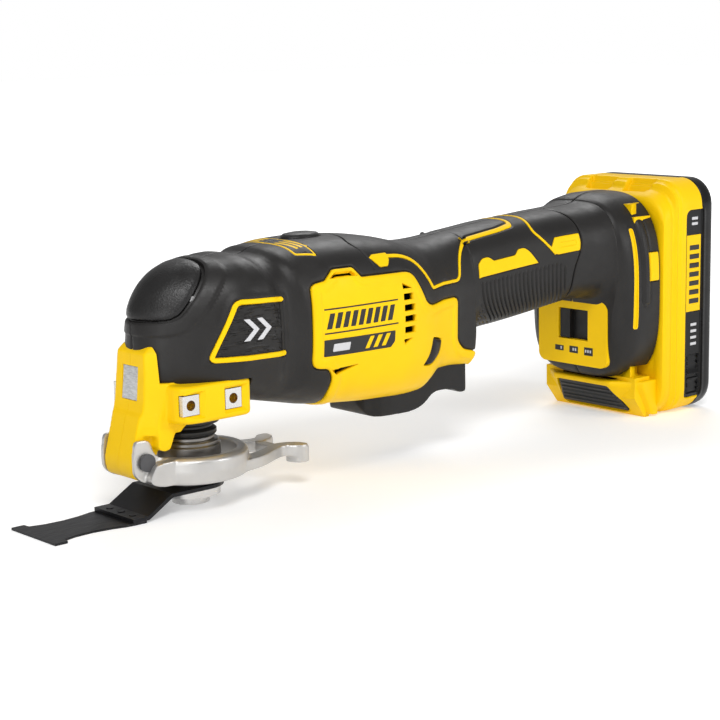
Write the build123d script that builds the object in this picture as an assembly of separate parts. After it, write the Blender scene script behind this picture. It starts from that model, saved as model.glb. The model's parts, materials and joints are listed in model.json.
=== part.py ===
"""Cordless oscillating multi tool with a quick-change T-blade clamp and a slide battery pack.

Millimetres, +Z up, nose towards -X, battery at +X. Everything is drawn with the blade's swing
axis (the spindle) at X = 0 and the floor at Z = 0, and moved along X when it is written, so that
the origin lies on the floor under the middle of the tool.
"""
import os
from math import cos, radians, sin

from build123d import *

# ---- driving dimensions ----
BLADE_REACH = 75.2  # spindle axis to the blade's cutting edge
REAR_REACH = 297.0  # spindle axis to the back of the battery pack
SHIFT_X = (BLADE_REACH - REAR_REACH) / 2
BLADE_EDGE = 31.8  # a 1 1/4 inch flush-cut blade
MOTOR_Z = 70.0  # height of the motor's shaft
SKIN = 1.5  # soft overmold
WALL = 2.6  # hard shell under it
RUN = 0.05  # radial clearance of a running fit
MATCH_Y = 37.0  # half width of the battery pack, the widest piece
PACK_TOP = 115.5
FOOT_FRONT, FOOT_REAR = 234.4, 259.3
PIN_X, PIN_Z = -29.5, 23.8  # pivot of the clamp lever
TRIGGER_X, TRIGGER_Z = 69.0, 41.0  # pivot of the trigger paddle
PADDLE_FRONT, SLOT_FRONT = 84.0, 82.4  # the paddle and the slot that it hangs from
PIN_REACH = 25.0  # half length of the paddle's pin
NUT_X, NUT_SPACING, NUT_Z = -5.1, 21.0, 46.3  # accessory nuts in the nose guard
NUT_IN, NUT_OUT = 19.4, 23.8  # where each nut lies across the tool
COLLAR_REAR, COLLAR_HALF = 13.6, 25.2
SOCKET_R = 2.1  # tapping size of an M5 thread
CASE_NECK_R = 15.6  # lower end of the gear case, inside the nose guard
CASE_TUBE_R = 21.5  # motor end of the gear case
PLUNGER_X = 125.0

# Main body along X: station, half width, bottom, top, corner radius.
BODY = [
    (-23.5, 21.0, 55.0, 87.0, 13.0),
    (-14.0, 25.5, 50.0, 96.5, 15.0),
    (0.0, 28.0, 46.0, 100.5, 17.0),
    (16.0, 29.0, 42.5, 101.5, 18.0),
    (30.0, 28.6, 39.5, 102.5, 18.0),
    (46.0, 31.5, 36.5, 104.0, 18.5),
    (67.0, 33.0, 34.2, 104.5, 19.0),
    (92.0, 33.0, 33.0, 102.5, 19.0),
    (108.0, 30.5, 34.0, 99.5, 18.0),
    (121.0, 26.0, 42.4, 97.3, 16.0),
    (134.0, 22.5, 50.0, 98.0, 15.0),
    (150.0, 20.8, 53.0, 99.8, 15.0),
    (170.0, 20.5, 54.5, 101.8, 15.0),
    (190.0, 21.5, 56.5, 103.0, 15.0),
    (206.0, 24.5, 58.0, 104.2, 16.0),
    (222.0, 29.0, 57.0, 107.5, 18.0),
    (240.0, 32.5, 54.0, 110.3, 20.0),
]
# Foot that carries the battery rails, in the same form.
FOOT = [
    (FOOT_FRONT, 24.0, 25.5, 104.0, 14.0),
    (238.0, 30.5, 22.3, 108.5, 18.0),
    (244.0, 33.0, 21.2, 110.3, 20.0),
    (FOOT_REAR, 33.5, 21.0, 110.5, 20.0),
]


# ---- helpers ----
def block(x0, x1, y0, y1, z0, z1):
    """A box from its limits."""
    return Pos((x0 + x1) / 2, (y0 + y1) / 2, (z0 + z1) / 2) * Box(x1 - x0, y1 - y0, z1 - z0)


def upright(radius, z0, z1, x=0.0, y=0.0):
    """A cylinder along Z."""
    return Pos(x, y, (z0 + z1) / 2) * Cylinder(radius, z1 - z0)


def lengthwise(radius, x0, x1, z=MOTOR_Z, y=0.0):
    """A cylinder along X."""
    return Pos((x0 + x1) / 2, y, z) * Rot(0, 90, 0) * Cylinder(radius, x1 - x0)


def crosswise(radius, y0, y1, x, z):
    """A cylinder along Y."""
    return Pos(x, (y0 + y1) / 2, z) * Rot(90, 0, 0) * Cylinder(radius, y1 - y0)


def side_plate(points, y0, y1):
    """An outline in side view, given as X and Z, that runs from y0 to y1."""
    face = make_face(Plane.XZ * Polyline(*points, close=True))
    return Pos(0, y1, 0) * extrude(face, y1 - y0, dir=(0, -1, 0))


def lofted(stations, inset=0.0, ends=0.0):
    """A body through rounded rectangles, pulled in all round by inset and at its ends by ends."""
    faces = []
    last = len(stations) - 1
    for i, (x, half, low, high, corner) in enumerate(stations):
        x += ends if i == 0 else -ends if i == last else 0
        shape = RectangleRounded(
            2 * (half - inset), high - low - 2 * inset, max(corner - inset, 2.0)
        )
        faces.append(Plane((x, 0, (low + high) / 2), x_dir=(0, 1, 0), z_dir=(1, 0, 0)) * shape)
    return loft(faces)


def round_nosed(x0, half, corner):
    """A tall block whose upright front edges are rounded."""
    body = block(x0, 150, -half, half, 0, 60)
    return fillet(body.edges().filter_by(Axis.Z).group_by(Axis.X)[0], corner)


def ring(outer, inner, z0, z1):
    """A flat ring round the spindle."""
    return upright(outer, z0, z1) - upright(inner, z0 - 1, z1 + 1)


def bearing(make, outer, inner, a, b):
    """A ball bearing as one ring with a shield groove in each face; make draws the cylinders."""
    mid = (outer + inner) / 2
    body = make(outer, a, b) - make(inner, a - 1, b + 1)
    for low, high in ((a - 1, a + 0.5), (b - 0.5, b + 1)):
        body -= make(mid + 1.2, low, high) - make(mid - 1.2, low, high)
    return body


def half(shape, side):
    """The part of a shape on one side of the parting plane: -1 is left, +1 is right."""
    y0, y1 = (-80, 0) if side < 0 else (0, 80)
    return shape & block(-100, 320, y0, y1, -20, 140)


def node(name, shape, slot):
    """Keeps a finished piece under its node's name."""
    PIECES[name] = (Pos(SHIFT_X, 0, 0) * shape, slot)


PIECES = {}
CONTACT_Y = (-14, -6, 6, 14)  # blades of the terminal block, and the slots they run in

# ---- the yellow areas of the shell, as cutters that run right through the sides ----
YELLOW_SIDE = [
    (45, 47), (46, 83), (50, 88), (98, 90), (106, 84), (111, 74), (117, 71), (123, 74),
    (126, 72), (125, 55), (130, 51), (149, 49), (149, 30), (30, 30), (52, 43),
]  # fmt: skip


# the lip beside the rear of the paddle, from the belly to where the grip starts
SKIRT = [(112, 36), (116, 38.4), (119, 41.4), (124, 42.6), (134, 41.9), (144.6, 40.6), (145.3, 41.4), (145.3, 46.6),
         (137, 49.4), (112, 52)]  # fmt: skip


def yellow_zone():
    """Where the hard shell comes to the surface on both sides of the motor."""
    return side_plate(YELLOW_SIDE, -60, 60)


def openings_cut():
    """What is cut out of the shell and its skin alike: trigger slot, vents, lock button, rails."""
    cut = block(SLOT_FRONT, 145.6, -17, 17, 15, 48.5)
    cut += block(62, SLOT_FRONT, -17, 17, 37, 48.5)  # room for the paddle's arms
    for z in VENT_Z:
        cut += block(94, 102, -60, 60, z - 1.6, z + 1.6)
    for x0, x1, z0, z1 in ((53, 66, 89.5, 94), (53, 66, 49.5, 52)):
        cut += block(x0, x1, -60, 60, z0, z1)
    cut += block(108, 116.5, -60, 60, 48.7, 56.3)
    cut += block(-60, COLLAR_REAR + 0.5, -60, 60, 0, 54.4)
    cut += block(247, 270, -25.9, 25.9, 10, 120)
    cut += upright(CASE_NECK_R + 0.4, 20, 60) + upright(3.6, 40, 60, PLUNGER_X)
    return cut


VENT_Z = (57.0, 62.5, 68.0, 73.5, 79.0)
SCREWS = ((47.5, 96.3), (116.0, 88.0), (154.0, 92.0), (158.0, 62.5), (205.0, 64.5), (243.5, 99.0))


def foot_windows():
    """Slit and tab on each side of the foot, where the hard shell shows through the skin."""
    windows = Part()
    for s in (-1, 1):
        a, b = sorted((s * 28, s * 36))
        windows += block(240, 244, a, b, 46.5, 93.5) + block(251.5, 262, a, b, 68, 82)
    return windows


def rail_lips():
    """The two lips of the foot that hold the pack's rails."""
    lips = Part()
    for s in (-1, 1):
        lips += block(251.6, FOOT_REAR, *sorted((s * 21.9, s * 25.9)), 23, 108)
    return lips


def shell():
    """Left and right hard shells, their screws and the soft skin over them."""
    body, foot = lofted(BODY), lofted(FOOT)
    outer = body + foot
    under = lofted(BODY, SKIN) + lofted(FOOT, SKIN)
    inner = lofted(BODY, SKIN + WALL, SKIN + WALL) + lofted(FOOT, SKIN + WALL, 2.5)
    inner += block(232, 246, -18, 18, 63, 98)  # way through from the grip to the terminals
    panel = block(FOOT_FRONT - 5, 237.2, -22.4, 22.4, 25.5, 58.6)
    cuts = openings_cut() + panel
    spine = outer & block(246, FOOT_REAR, -40, 40, 0, 140)  # solid rear wall of the foot
    hard = (under - inner) + (outer & yellow_zone()) - inner + (spine & under)
    windows = foot_windows()
    hard = hard + (outer & windows) - cuts + rail_lips()
    hard -= block(239, 248, -21, 21, 25, 59) + block(239, 248, -19.3, 19.3, 61.7, 92.3)
    for s in (-1, 1):  # lips beside the rear of the paddle
        hard += side_plate(SKIRT, *sorted((s * 17.2, s * 21.2))) - inner
    hard -= crosswise(1.5, -PIN_REACH, PIN_REACH, TRIGGER_X, TRIGGER_Z)
    skin = (outer - under) - yellow_zone() - cuts - windows
    for side, name in ((-1, "left"), (1, "right")):
        hard_half = half(hard, side)
        skin_half = half(skin, side)
        for x, z in SCREWS:
            post = crosswise(3.6, *((-40, 0) if side < 0 else (0, 40)), x, z) & under
            hard_half += post - cuts
            hard_half -= crosswise(1.5, -16, 40, x, z)
            if side > 0:
                hard_half -= crosswise(3.1, 14.5, 60, x, z)
                skin_half -= crosswise(3.1, 10, 60, x, z)
        node(f"housing_{name}", largest(hard_half), "yellow_shell")
        node(f"overmold_{name}", without_crumbs(skin_half), "black_overmold")
    screws = Part()
    for x, z in SCREWS:
        screw = crosswise(2.9, 14.7, 17.2, x, z) + crosswise(1.4, -12, 14.7, x, z)
        screws += screw - Pos(x, 17.2, z) * Box(4.0, 1.8, 0.8)
    node("housing_screws", screws, "screw_steel")


def largest(shape):
    """The biggest solid of a shape, without loose chips from the cuts."""
    return max(shape.solids(), key=lambda s: s.volume)


def without_crumbs(shape, least=40.0):
    """A compound of the solids that are larger than a chip."""
    return Compound([s for s in shape.solids() if s.volume > least])


# ---- nose ----
LEG = [(-22.5, 68.5), (-26.6, 66.5), (-27.0, 58), (-28.2, 47), (-31.6, 35), (-35.2, 22.5),
       (-34.2, 18.2), (-31, 16.2), (-26.5, 16.4), (-22.0, 26.5), (-15.5, 38.5), (-15.5, 68.5)]  # fmt: skip


def nose():
    """The two-part guard round the spindle with its lamp and accessory nuts, and the palm pad."""
    head = lofted(BODY)
    collar = block(-21, COLLAR_REAR, -COLLAR_HALF, COLLAR_HALF, 38.6, 53.9)
    collar = fillet(collar.edges().filter_by(Axis.Z), 4.0)
    leg = side_plate(LEG, -15, 15)
    for s in (-1, 1):
        a, b = sorted((s * 9.7, s * 16))
        leg -= block(-60, -25.3, a, b, 0, 33.6) + block(-26, 0, a, b, 0, 27.2)
    guard = collar + (leg - block(-24.2, 0, -40, 40, 54.4, 80))
    guard -= (head & block(-60, 60, -60, 60, 54.4, 120)) + upright(CASE_NECK_R + 0.4, 30, 60)
    guard -= lengthwise(CASE_TUBE_R + 0.4, 7.6, 46)
    guard -= block(-40, -24, -5.3, 5.3, 47.3, 61)  # lamp pocket
    guard -= block(-24.5, -19.5, -5.3, 5.3, 47.3, 54)
    guard -= crosswise(2.05, -30, 30, PIN_X, PIN_Z)
    nuts = Part()
    for s in (-1, 1):
        for x in (NUT_X - NUT_SPACING / 2, NUT_X + NUT_SPACING / 2):
            pocket = sorted((s * (NUT_IN - 0.1), s * 30))
            guard -= block(x - 4.1, x + 4.1, *pocket, NUT_Z - 4.1, NUT_Z + 4.1)
            guard -= crosswise(2.6, *sorted((s * 16.4, s * NUT_IN)), x, NUT_Z)
            nut = block(x - 4, x + 4, *sorted((s * NUT_IN, s * NUT_OUT)), NUT_Z - 4, NUT_Z + 4)
            nuts += nut - crosswise(SOCKET_R, *sorted((s * 18, s * 30)), x, NUT_Z)
    for side, name in ((-1, "left"), (1, "right")):
        node(f"nose_guard_{name}", largest(half(guard, side)), "yellow_shell")
    node("accessory_nuts", nuts, "bright_steel")
    lens = block(-29, -25.4, -5.1, 5.1, 47.5, 60.8) & (side_plate(LEG, -6, 6))
    node("led_lens", lens, "led_lens")
    board = block(-25.2, -24.2, -4.8, 4.8, 48, 60) + block(-25.4, -25.2, -1.6, 1.6, 52.5, 55.7)
    node("led_board", board, "circuit_board")
    pad_skin = [(-26.2, 19.5, 55, 91, 13), *[(x, h + 1.6, a, b + 1.8, c) for x, h, a, b, c in BODY[1:4]]]
    pad = lofted(pad_skin) & side_plate([(-40, 78), (0, 78.5), (9, 90), (5, 120), (-40, 120)], -60, 60)
    node("palm_pad", largest(pad - head), "palm_rubber")


# ---- drive ----
def drive():
    """Gear case, spindle, fork, bearings, motor and fan."""
    case = upright(CASE_NECK_R, 37.5, 60) + upright(18.0, 60.5, 88) + lengthwise(CASE_TUBE_R, 8, 46)
    case += Pos(0, 0, 58.5) * Cone(CASE_NECK_R, 18.0, 4.0)
    case -= upright(14.6, 56, 77.2) + upright(10.5, 50, 57) + lengthwise(18.5, -2, 42)
    case -= upright(8.2, 30, 95) + upright(13.0, 40, 50) + upright(13.0, 77, 85.4)
    case -= lengthwise(9.5, 40, 50)
    node("gear_case", case, "cast_aluminium")
    node("spindle_bearing_lower", bearing(upright, 13.0, 6.5 + RUN, 40, 50), "bearing_steel")
    node("spindle_bearing_upper", bearing(upright, 13.0, 8.0 + RUN, 77.5, 85.4), "bearing_steel")
    spindle = upright(12.4, 9.7, 13) + upright(6.5, 12, 62) + upright(8.0, 60, 88)
    spindle -= upright(3.2, 5, 90) + upright(5.8, 66, 90)
    node("spindle", spindle, "dark_steel")
    fork = upright(12.0, 62, 72.5) - upright(8.0, 60, 75)
    for s in (-1, 1):
        fork += block(4, 33.5, *sorted((s * 10.2, s * 14.0)), 64, 76) - upright(8.0, 60, 77)
    fork -= block(20.5, 40, -10.2, 10.2, 60, 80)
    node("oscillating_fork", fork, "dark_steel")
    shaft = lengthwise(3.5, 34, 112) + lengthwise(4.0, 24.2, 34.2, MOTOR_Z + 0.8)
    node("motor_shaft", shaft, "bright_steel")
    eccentric = Pos(0, 0, 0.8) * bearing(lengthwise, 8.0, 4.0, 25, 32)
    node("eccentric_bearing", eccentric, "bearing_steel")
    node("motor_bearing_front", bearing(lengthwise, 9.5, 3.5 + RUN, 42.2, 48.2), "bearing_steel")
    node("motor_bearing_rear", bearing(lengthwise, 8.0, 3.5 + RUN, 105.2, 110.8), "bearing_steel")
    node("motor_rotor", lengthwise(12.4, 54, 86) - lengthwise(3.5, 50, 90), "magnet_steel")
    stator = lengthwise(25.0, 55, 85) - lengthwise(12.9, 50, 90)
    for k in range(6):
        slot = lengthwise(3.2, 50, 90, MOTOR_Z + 17 * cos(radians(60 * k)), 17 * sin(radians(60 * k)))
        stator -= slot
    node("motor_stator", stator, "laminated_steel")
    coils = Part()
    for x0, x1 in ((50.2, 54.9), (85.1, 89.8)):
        coils += lengthwise(23.0, x0, x1) - lengthwise(13.5, x0 - 1, x1 + 1)
    for k in range(6):
        coils += lengthwise(3.0, 52, 88, MOTOR_Z + 17 * cos(radians(60 * k)), 17 * sin(radians(60 * k)))
    node("motor_windings", coils, "copper")
    fan = lengthwise(6.0, 92, 102) - lengthwise(3.5, 90, 110) + (
        lengthwise(22.5, 92, 93.5) - lengthwise(5.9, 90, 100))  # fmt: skip
    for k in range(11):
        blade = block(93, 101, -0.6, 0.6, MOTOR_Z + 5.5, MOTOR_Z + 22)
        fan += blade.rotate(Axis((0, 0, MOTOR_Z), (1, 0, 0)), k * 360 / 11)
    node("cooling_fan", fan, "black_plastic")
    rear = lengthwise(13.5, 104, 111.5) - lengthwise(8.0, 105.2, 115) - lengthwise(5.5, 100, 110)
    node("motor_rear_mount", rear, "black_plastic")


# ---- clamp and blade ----
def clamp():
    """Hollow-spindle clamp: flange and rod, its spring, the lever round it and the blade."""
    rod = upright(7.8, 0.8, 4.5) + upright(12.4, 4.4, 7.8) + upright(2.9, 7, 84)
    rod = rod + upright(5.4, 80.3, 84)
    rod -= upright(2.6, 0, 2.4)
    node("clamp_flange", rod, "bright_steel")
    spring = Helix(2.6, 12.1, 4.4, center=(0, 0, 67.2))
    wire = sweep(Plane(spring @ 0, z_dir=spring % 0) * Circle(0.65), path=spring)
    node("clamp_spring", wire, "spring_steel")
    sleeve = ring(12.9, 7.2, 14.2, 26.8) + ring(10.4, 7.2, 26.8, 29)
    node("clamp_sleeve", fillet(sleeve.edges().filter_by(GeomType.CIRCLE).group_by(Axis.Z)[2], 0.6),
         "brushed_steel")  # fmt: skip
    boot = ring(11.2, 8.5, 29.2, 33.5) + ring(10.0, 8.5, 33.4, 35) + ring(11.4, 8.5, 35, 37.3)
    node("dust_boot", boot, "boot_rubber")
    lever()
    blade()


LEVER_SIDE = 11.6  # outside of the lever's lugs


def lever():
    """Cast ring round the clamp, two lugs on the pivot pin and a forked tail."""
    body = ring(24.6, 19.4, 12.8, 23.6)
    for s in (-1, 1):
        a, b = sorted((s * 10.0, s * LEVER_SIDE))
        lug = side_plate([(-35.0, 26), (-34.0, 32.4), (-26.6, 32.0), (-24.8, 24), (-17, 22.5),
                          (-17, 14), (-30, 15.6), (-34.2, 19.4)], a, b)  # fmt: skip
        cheek = side_plate([(-30, 15.6), (-25, 22.5), (-16, 23.4), (-14, 12.8)], *sorted((s * 10, s * 17)))
        body += lug + (cheek & upright(30, 0, 60))
        tail = Polyline((14, s * 19.5), (20, s * 17.5), (50, s * 7), (52, s * 12.5), (38, s * 15),
                        close=True)  # fmt: skip
        body += extrude(make_face(Pos(0, 0, 15.6) * tail), 4.0)
        body += block(44.5, 53.2, *sorted((s * 6.5, s * 13)), 13.6, 19.4)
    body += block(44.8, 49.0, -7, 7, 15.4, 19.2)
    body -= block(-60, -16.2, -9.95, 9.95, 0, 60) + upright(19.4, 0, 40)
    body -= crosswise(2.05, -30, 30, PIN_X, PIN_Z)
    node("quick_change_lever", largest(body), "cast_silver")
    pin = crosswise(2.0, -12.4, 12.4, PIN_X, PIN_Z)
    node("lever_pin", pin + crosswise(3.6, -13.2, -12.2, PIN_X, PIN_Z)
         + crosswise(3.6, 12.2, 13.2, PIN_X, PIN_Z), "dark_steel")  # fmt: skip


def blade():
    """Thin T-blade spot-welded under a stepped carrier plate."""
    w = BLADE_EDGE / 2
    rim = [(-75.2, w), (-69.6, w), (-69.2, 12.6), (-63, 11.0), (-55, 10.6), (-47, 11.6), (-41, 13.2), (-38, 13.6),
           (-31.5, 13.6)]  # fmt: skip
    outline = Polyline(*rim, *[(x, -y) for x, y in reversed(rim)], close=True)
    thin = extrude(make_face(outline), 1.0)
    node("cutting_blade", thin, "tool_steel")
    carrier = side_plate([(-38, 1.0), (-30.4, 1.0), (-18.6, 8.0), (14, 8.0), (14, 9.5), (-19.1, 9.5),
                          (-30.9, 2.6), (-38, 2.6)], -13.8, 13.8)  # fmt: skip
    carrier -= block(0, 20, -20, 20, 7, 11) - upright(13.8, 6, 12)
    carrier -= upright(4.2, 5, 12) + block(2, 20, -3.4, 3.4, 5, 12)
    node("blade_carrier", carrier, "tool_steel")
    welds = Part()
    for y in (-8, 0, 8):
        welds += upright(1.5, 2.6, 2.9, -34.4, y)
    node("blade_spot_welds", welds, "tool_steel")


# ---- trigger, switch and electronics ----
PADDLE = [(PADDLE_FRONT, 43.5), (PADDLE_FRONT, 31), (87, 25.6), (92, 23.8), (110, 23.6), (118, 25.6), (124, 29.2),
          (134, 29.0), (140, 27.4), (143.4, 28.6), (144.2, 33), (144.2, 39), (120, 43)]  # fmt: skip


def controls():
    """Paddle, switch, lock button, speed panel and boards."""
    hollow = side_plate([(86, 50), (86, 31.5), (88.5, 27.8), (93, 26.1), (109, 25.9), (117.5, 28.0), (123, 31.5),
                         (142, 31.5), (142, 50)], -14, 14)  # fmt: skip
    paddle = side_plate(PADDLE, -16, 16) & round_nosed(PADDLE_FRONT, 16, 12)
    paddle -= hollow & round_nosed(PADDLE_FRONT + 2, 14, 10)
    for s in (-1, 1):  # arms that run forward to the pin, inside the shell
        a, b = sorted((s * 9, s * 14))
        paddle += block(TRIGGER_X - 2, 92, a, b, 38.6, 43.4) + crosswise(3.4, a, b, TRIGGER_X, TRIGGER_Z)
    paddle += block(121, 129, -4, 4, 31, 43)
    paddle -= crosswise(1.55, -30, 30, TRIGGER_X, TRIGGER_Z)
    node("trigger_paddle", largest(paddle), "trigger_plastic")
    node("trigger_pin", crosswise(1.5, -PIN_REACH, PIN_REACH, TRIGGER_X, TRIGGER_Z), "bright_steel")
    node("trigger_switch", block(118, 142, -9, 9, 57.2, 78) - upright(3.2, 50, 66, PLUNGER_X), "black_plastic")
    node("switch_plunger", upright(3.0, 43.6, 58, PLUNGER_X), "trigger_plastic")
    node("lock_button", block(109, 115.5, -29.8, 27.4, 49.5, 55.5), "trigger_plastic")
    panel = block(233.9, 236.9, -22.2, 22.2, 25.8, 58.4)
    panel = fillet(panel.edges().filter_by(Axis.X), 4.5)
    panel -= block(230, 240, -10, 9, 38.2, 53.4)
    node("speed_panel", panel, "yellow_shell")
    slider = block(237.3, 239.0, -10.8, 21.4, 36.4, 55.2) + block(234.7, 237.4, 2.2, 8.4, 38.7, 52.9)
    node("speed_selector", slider, "trigger_plastic")
    board = block(241.2, 242.8, -19, 19, 27, 57)
    node("control_board", board, "circuit_board")
    terminals = block(240.0, 246.8, -19, 19, 62, 92)
    for y in CONTACT_Y:
        terminals += block(246, 253.5, y - 0.5, y + 0.5, 66, 90)
    node("terminal_block", terminals, "black_plastic")
    leads = Part()
    for y in (-3, 3):
        leads += lengthwise(1.1, 142.2, 239.8, 74, y)
    node("power_leads", leads, "lead_sleeve")
    label = block(52.5, 71, -6.5, 6.5, 100, 106) & (lofted([(x, h, a, b + 1.5, c) for x, h, a, b, c in BODY[4:9]]))
    node("top_badge", largest(label - lofted(BODY)), "palm_rubber")


# ---- battery pack ----
PACK_SIDE = [(260.0, 0.0), (REAR_REACH - 8, 0.0), (REAR_REACH, 8.0), (REAR_REACH, PACK_TOP - 10),
             (REAR_REACH - 9, PACK_TOP), (272.0, PACK_TOP), (260.0, PACK_TOP - 9)]  # fmt: skip
SPLIT_X = 284.0  # joint between the yellow and the black half of the pack
LATCH_DIR = (0.79, 0.0, 0.613)  # the release button is pressed this way
CASE_SCREWS = [(y, z) for y in (-30, 30) for z in (8.6, 104.2)]


def pack():
    """Slide pack: two cases, cells, board, contacts and the release button."""
    body = side_plate(PACK_SIDE, -MATCH_Y, MATCH_Y)
    edges = body.edges().filter_by(lambda e: abs(abs(e.center().Y) - MATCH_Y) < 0.01)
    body = chamfer(edges, 5.0)
    cavity = side_plate([(262.6, 2.6), (294, 2.6), (294, 112), (262.6, 104)], -34.2, 34.2)
    case = body - cavity
    rails = block(247.7, 251.2, -25.3, 25.3, 20, 105) + block(251.0, 260.1, -21.3, 21.3, 20, 105)
    for y in CONTACT_Y:
        rails -= block(247, 258, y - 1.3, y + 1.3, 60, 110)
    toe = side_plate([(260.1, 0), (255, 0), (240.2, 18.5), (240.2, 20.3), (260.1, 20.3)], -29, 29)
    toe = toe - latch_pocket(0.5)
    upper = (case & block(230, SPLIT_X, -50, 50, -5, 130)) + rails + toe
    lower = case & block(SPLIT_X, 320, -50, 50, -5, 130)
    for y, z in CASE_SCREWS:
        lower -= lengthwise(1.6, SPLIT_X, 300, z, y) + lengthwise(3.2, 293.5, 300, z, y)
    node("battery_upper_case", upper, "yellow_shell")
    node("battery_lower_case", lower, "black_case")
    screws = Part()
    for y, z in CASE_SCREWS:
        screws += lengthwise(1.5, SPLIT_X + 0.2, 293.5, z, y) + lengthwise(3.0, 294.1, 296.2, z, y)
    node("battery_screws", screws, "screw_steel")
    cells = Part()
    for k in range(5):
        cells += crosswise(9.1, -32.5, 32.5, 281.5, 19.5 + 18.4 * k)
    node("battery_cells", cells, "cell_wrap")
    frame = block(270.2, 272.2, -33.5, 33.5, 11.5, 100.5) + block(290.8, 292, -33.5, 33.5, 11.5, 100.5)
    node("cell_holder", frame, "black_plastic")
    node("battery_board", block(265.5, 267.1, -28, 28, 12, 98), "circuit_board")
    clips = Part()
    for y in CONTACT_Y:
        clips += block(258.6, 265.3, y - 1.1, y + 1.1, 70, 88) & block(262.7, 266, -50, 50, 0, 130)
    node("battery_contacts", clips, "copper")
    node("battery_release", latch_pocket(0.0), "latch_plastic")


def latch_pocket(margin):
    """A plate on the sloping face of the toe, or with a margin the pocket that it moves in."""
    along = Plane((247.5, 0, 9.4), x_dir=(0, 1, 0), z_dir=LATCH_DIR)
    plate = along * Rectangle(34 + 2 * margin, 15 + 2 * margin)
    return extrude(plate, 7.0 if margin else 3.0)


def main():
    os.makedirs("parts", exist_ok=True)
    for build in (shell, nose, drive, clamp, controls, pack):
        build()
    for name, (shape, _) in PIECES.items():
        export_step(shape, f"parts/{name}.step")
    print(len(PIECES), "pieces")


if __name__ == "__main__":
    main()
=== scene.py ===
"""Looks of the oscillating multi tool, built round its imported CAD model.

Lengths here are millimetres, with the spindle's axis at X = 0 and the floor at Z = 0, and
metres() turns them into the frame. Left is -Y, the side that the camera sees.
"""

import json
from math import cos, pi, radians, sin

import bmesh
import bpy
import numpy as np
from mathutils import Matrix, Vector


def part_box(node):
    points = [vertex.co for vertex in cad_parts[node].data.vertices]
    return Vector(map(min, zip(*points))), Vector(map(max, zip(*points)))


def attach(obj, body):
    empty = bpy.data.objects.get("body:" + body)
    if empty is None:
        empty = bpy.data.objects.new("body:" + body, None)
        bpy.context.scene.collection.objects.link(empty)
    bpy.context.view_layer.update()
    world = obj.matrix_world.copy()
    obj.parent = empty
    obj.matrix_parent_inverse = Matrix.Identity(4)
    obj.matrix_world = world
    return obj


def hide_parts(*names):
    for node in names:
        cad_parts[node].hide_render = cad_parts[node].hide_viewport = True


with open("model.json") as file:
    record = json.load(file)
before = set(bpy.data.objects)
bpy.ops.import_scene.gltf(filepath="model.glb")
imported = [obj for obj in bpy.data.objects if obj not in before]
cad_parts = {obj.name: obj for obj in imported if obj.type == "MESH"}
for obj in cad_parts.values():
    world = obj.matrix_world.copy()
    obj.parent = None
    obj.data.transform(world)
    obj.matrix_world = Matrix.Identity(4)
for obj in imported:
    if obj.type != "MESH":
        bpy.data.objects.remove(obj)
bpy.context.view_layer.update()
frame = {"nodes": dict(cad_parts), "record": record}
NODES = frame["nodes"]
SLOT_OF = {part["node"]: part["material_slot"] for part in frame["record"]["subparts"]}


# ---- places read from the frame, in millimetres ----
def span(node):
    """Lowest and highest corner of a CAD node, with the spindle's axis at X = 0."""
    low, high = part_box(node)
    return [(v - Vector((SPINDLE_X, 0, 0))) * 1000 for v in (low, high)]


SPINDLE_X = sum(v.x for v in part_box("spindle")) / 2
PANEL_LOW = span("speed_panel")[0]
FOOT_REAR = span("housing_left")[1].x
GUARD_HIGH = span("nose_guard_right")[1]
COLLAR_REAR, COLLAR_HALF = GUARD_HIGH.x, GUARD_HIGH.y
NUTS_LOW, NUTS_HIGH = span("accessory_nuts")
PADDLE_REAR = span("trigger_paddle")[1].x


def metres(points):
    """Points of the frame from points in millimetres."""
    return np.asarray(points, float) / 1000 + (SPINDLE_X, 0, 0)


# ---- materials ----
def node_material(name, roughness, metallic=0.0, gloss=0.5):
    """An empty node material: its tree, its shader and its position in the object's own space."""
    material = bpy.data.materials.new(name)
    material.use_nodes = True
    tree = material.node_tree
    shader = tree.nodes["Principled BSDF"]
    shader.inputs["Roughness"].default_value = roughness
    shader.inputs["Metallic"].default_value = metallic
    shader.inputs["Specular IOR Level"].default_value = gloss
    place = tree.nodes.new("ShaderNodeTexCoord").outputs["Object"]
    return material, tree, shader, place


def noise(tree, place, size, detail=3.0, stretch=(1, 1, 1)):
    """Noise whose features are about size millimetres across."""
    mapping = tree.nodes.new("ShaderNodeMapping")
    mapping.inputs["Scale"].default_value = [1000 / size * s for s in stretch]
    tree.links.new(place, mapping.inputs["Vector"])
    texture = tree.nodes.new("ShaderNodeTexNoise")
    texture.inputs["Scale"].default_value = 1.0
    texture.inputs["Detail"].default_value = detail
    tree.links.new(mapping.outputs["Vector"], texture.inputs["Vector"])
    return texture.outputs["Fac"]


def ramp(tree, value, low, high, start=0.3, end=0.7):
    """Colours from low to high as value goes from start to end."""
    node = tree.nodes.new("ShaderNodeValToRGB")
    node.color_ramp.elements[0].position = start
    node.color_ramp.elements[0].color = (*low, 1)
    node.color_ramp.elements[1].position = end
    node.color_ramp.elements[1].color = (*high, 1)
    tree.links.new(value, node.inputs["Fac"])
    return node.outputs["Color"]


def remap(tree, value, low, high):
    """value from 0.3..0.7 to low..high."""
    node = tree.nodes.new("ShaderNodeMapRange")
    node.inputs["From Min"].default_value = 0.3
    node.inputs["From Max"].default_value = 0.7
    node.inputs["To Min"].default_value = low
    node.inputs["To Max"].default_value = high
    tree.links.new(value, node.inputs["Value"])
    return node.outputs["Result"]


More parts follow.
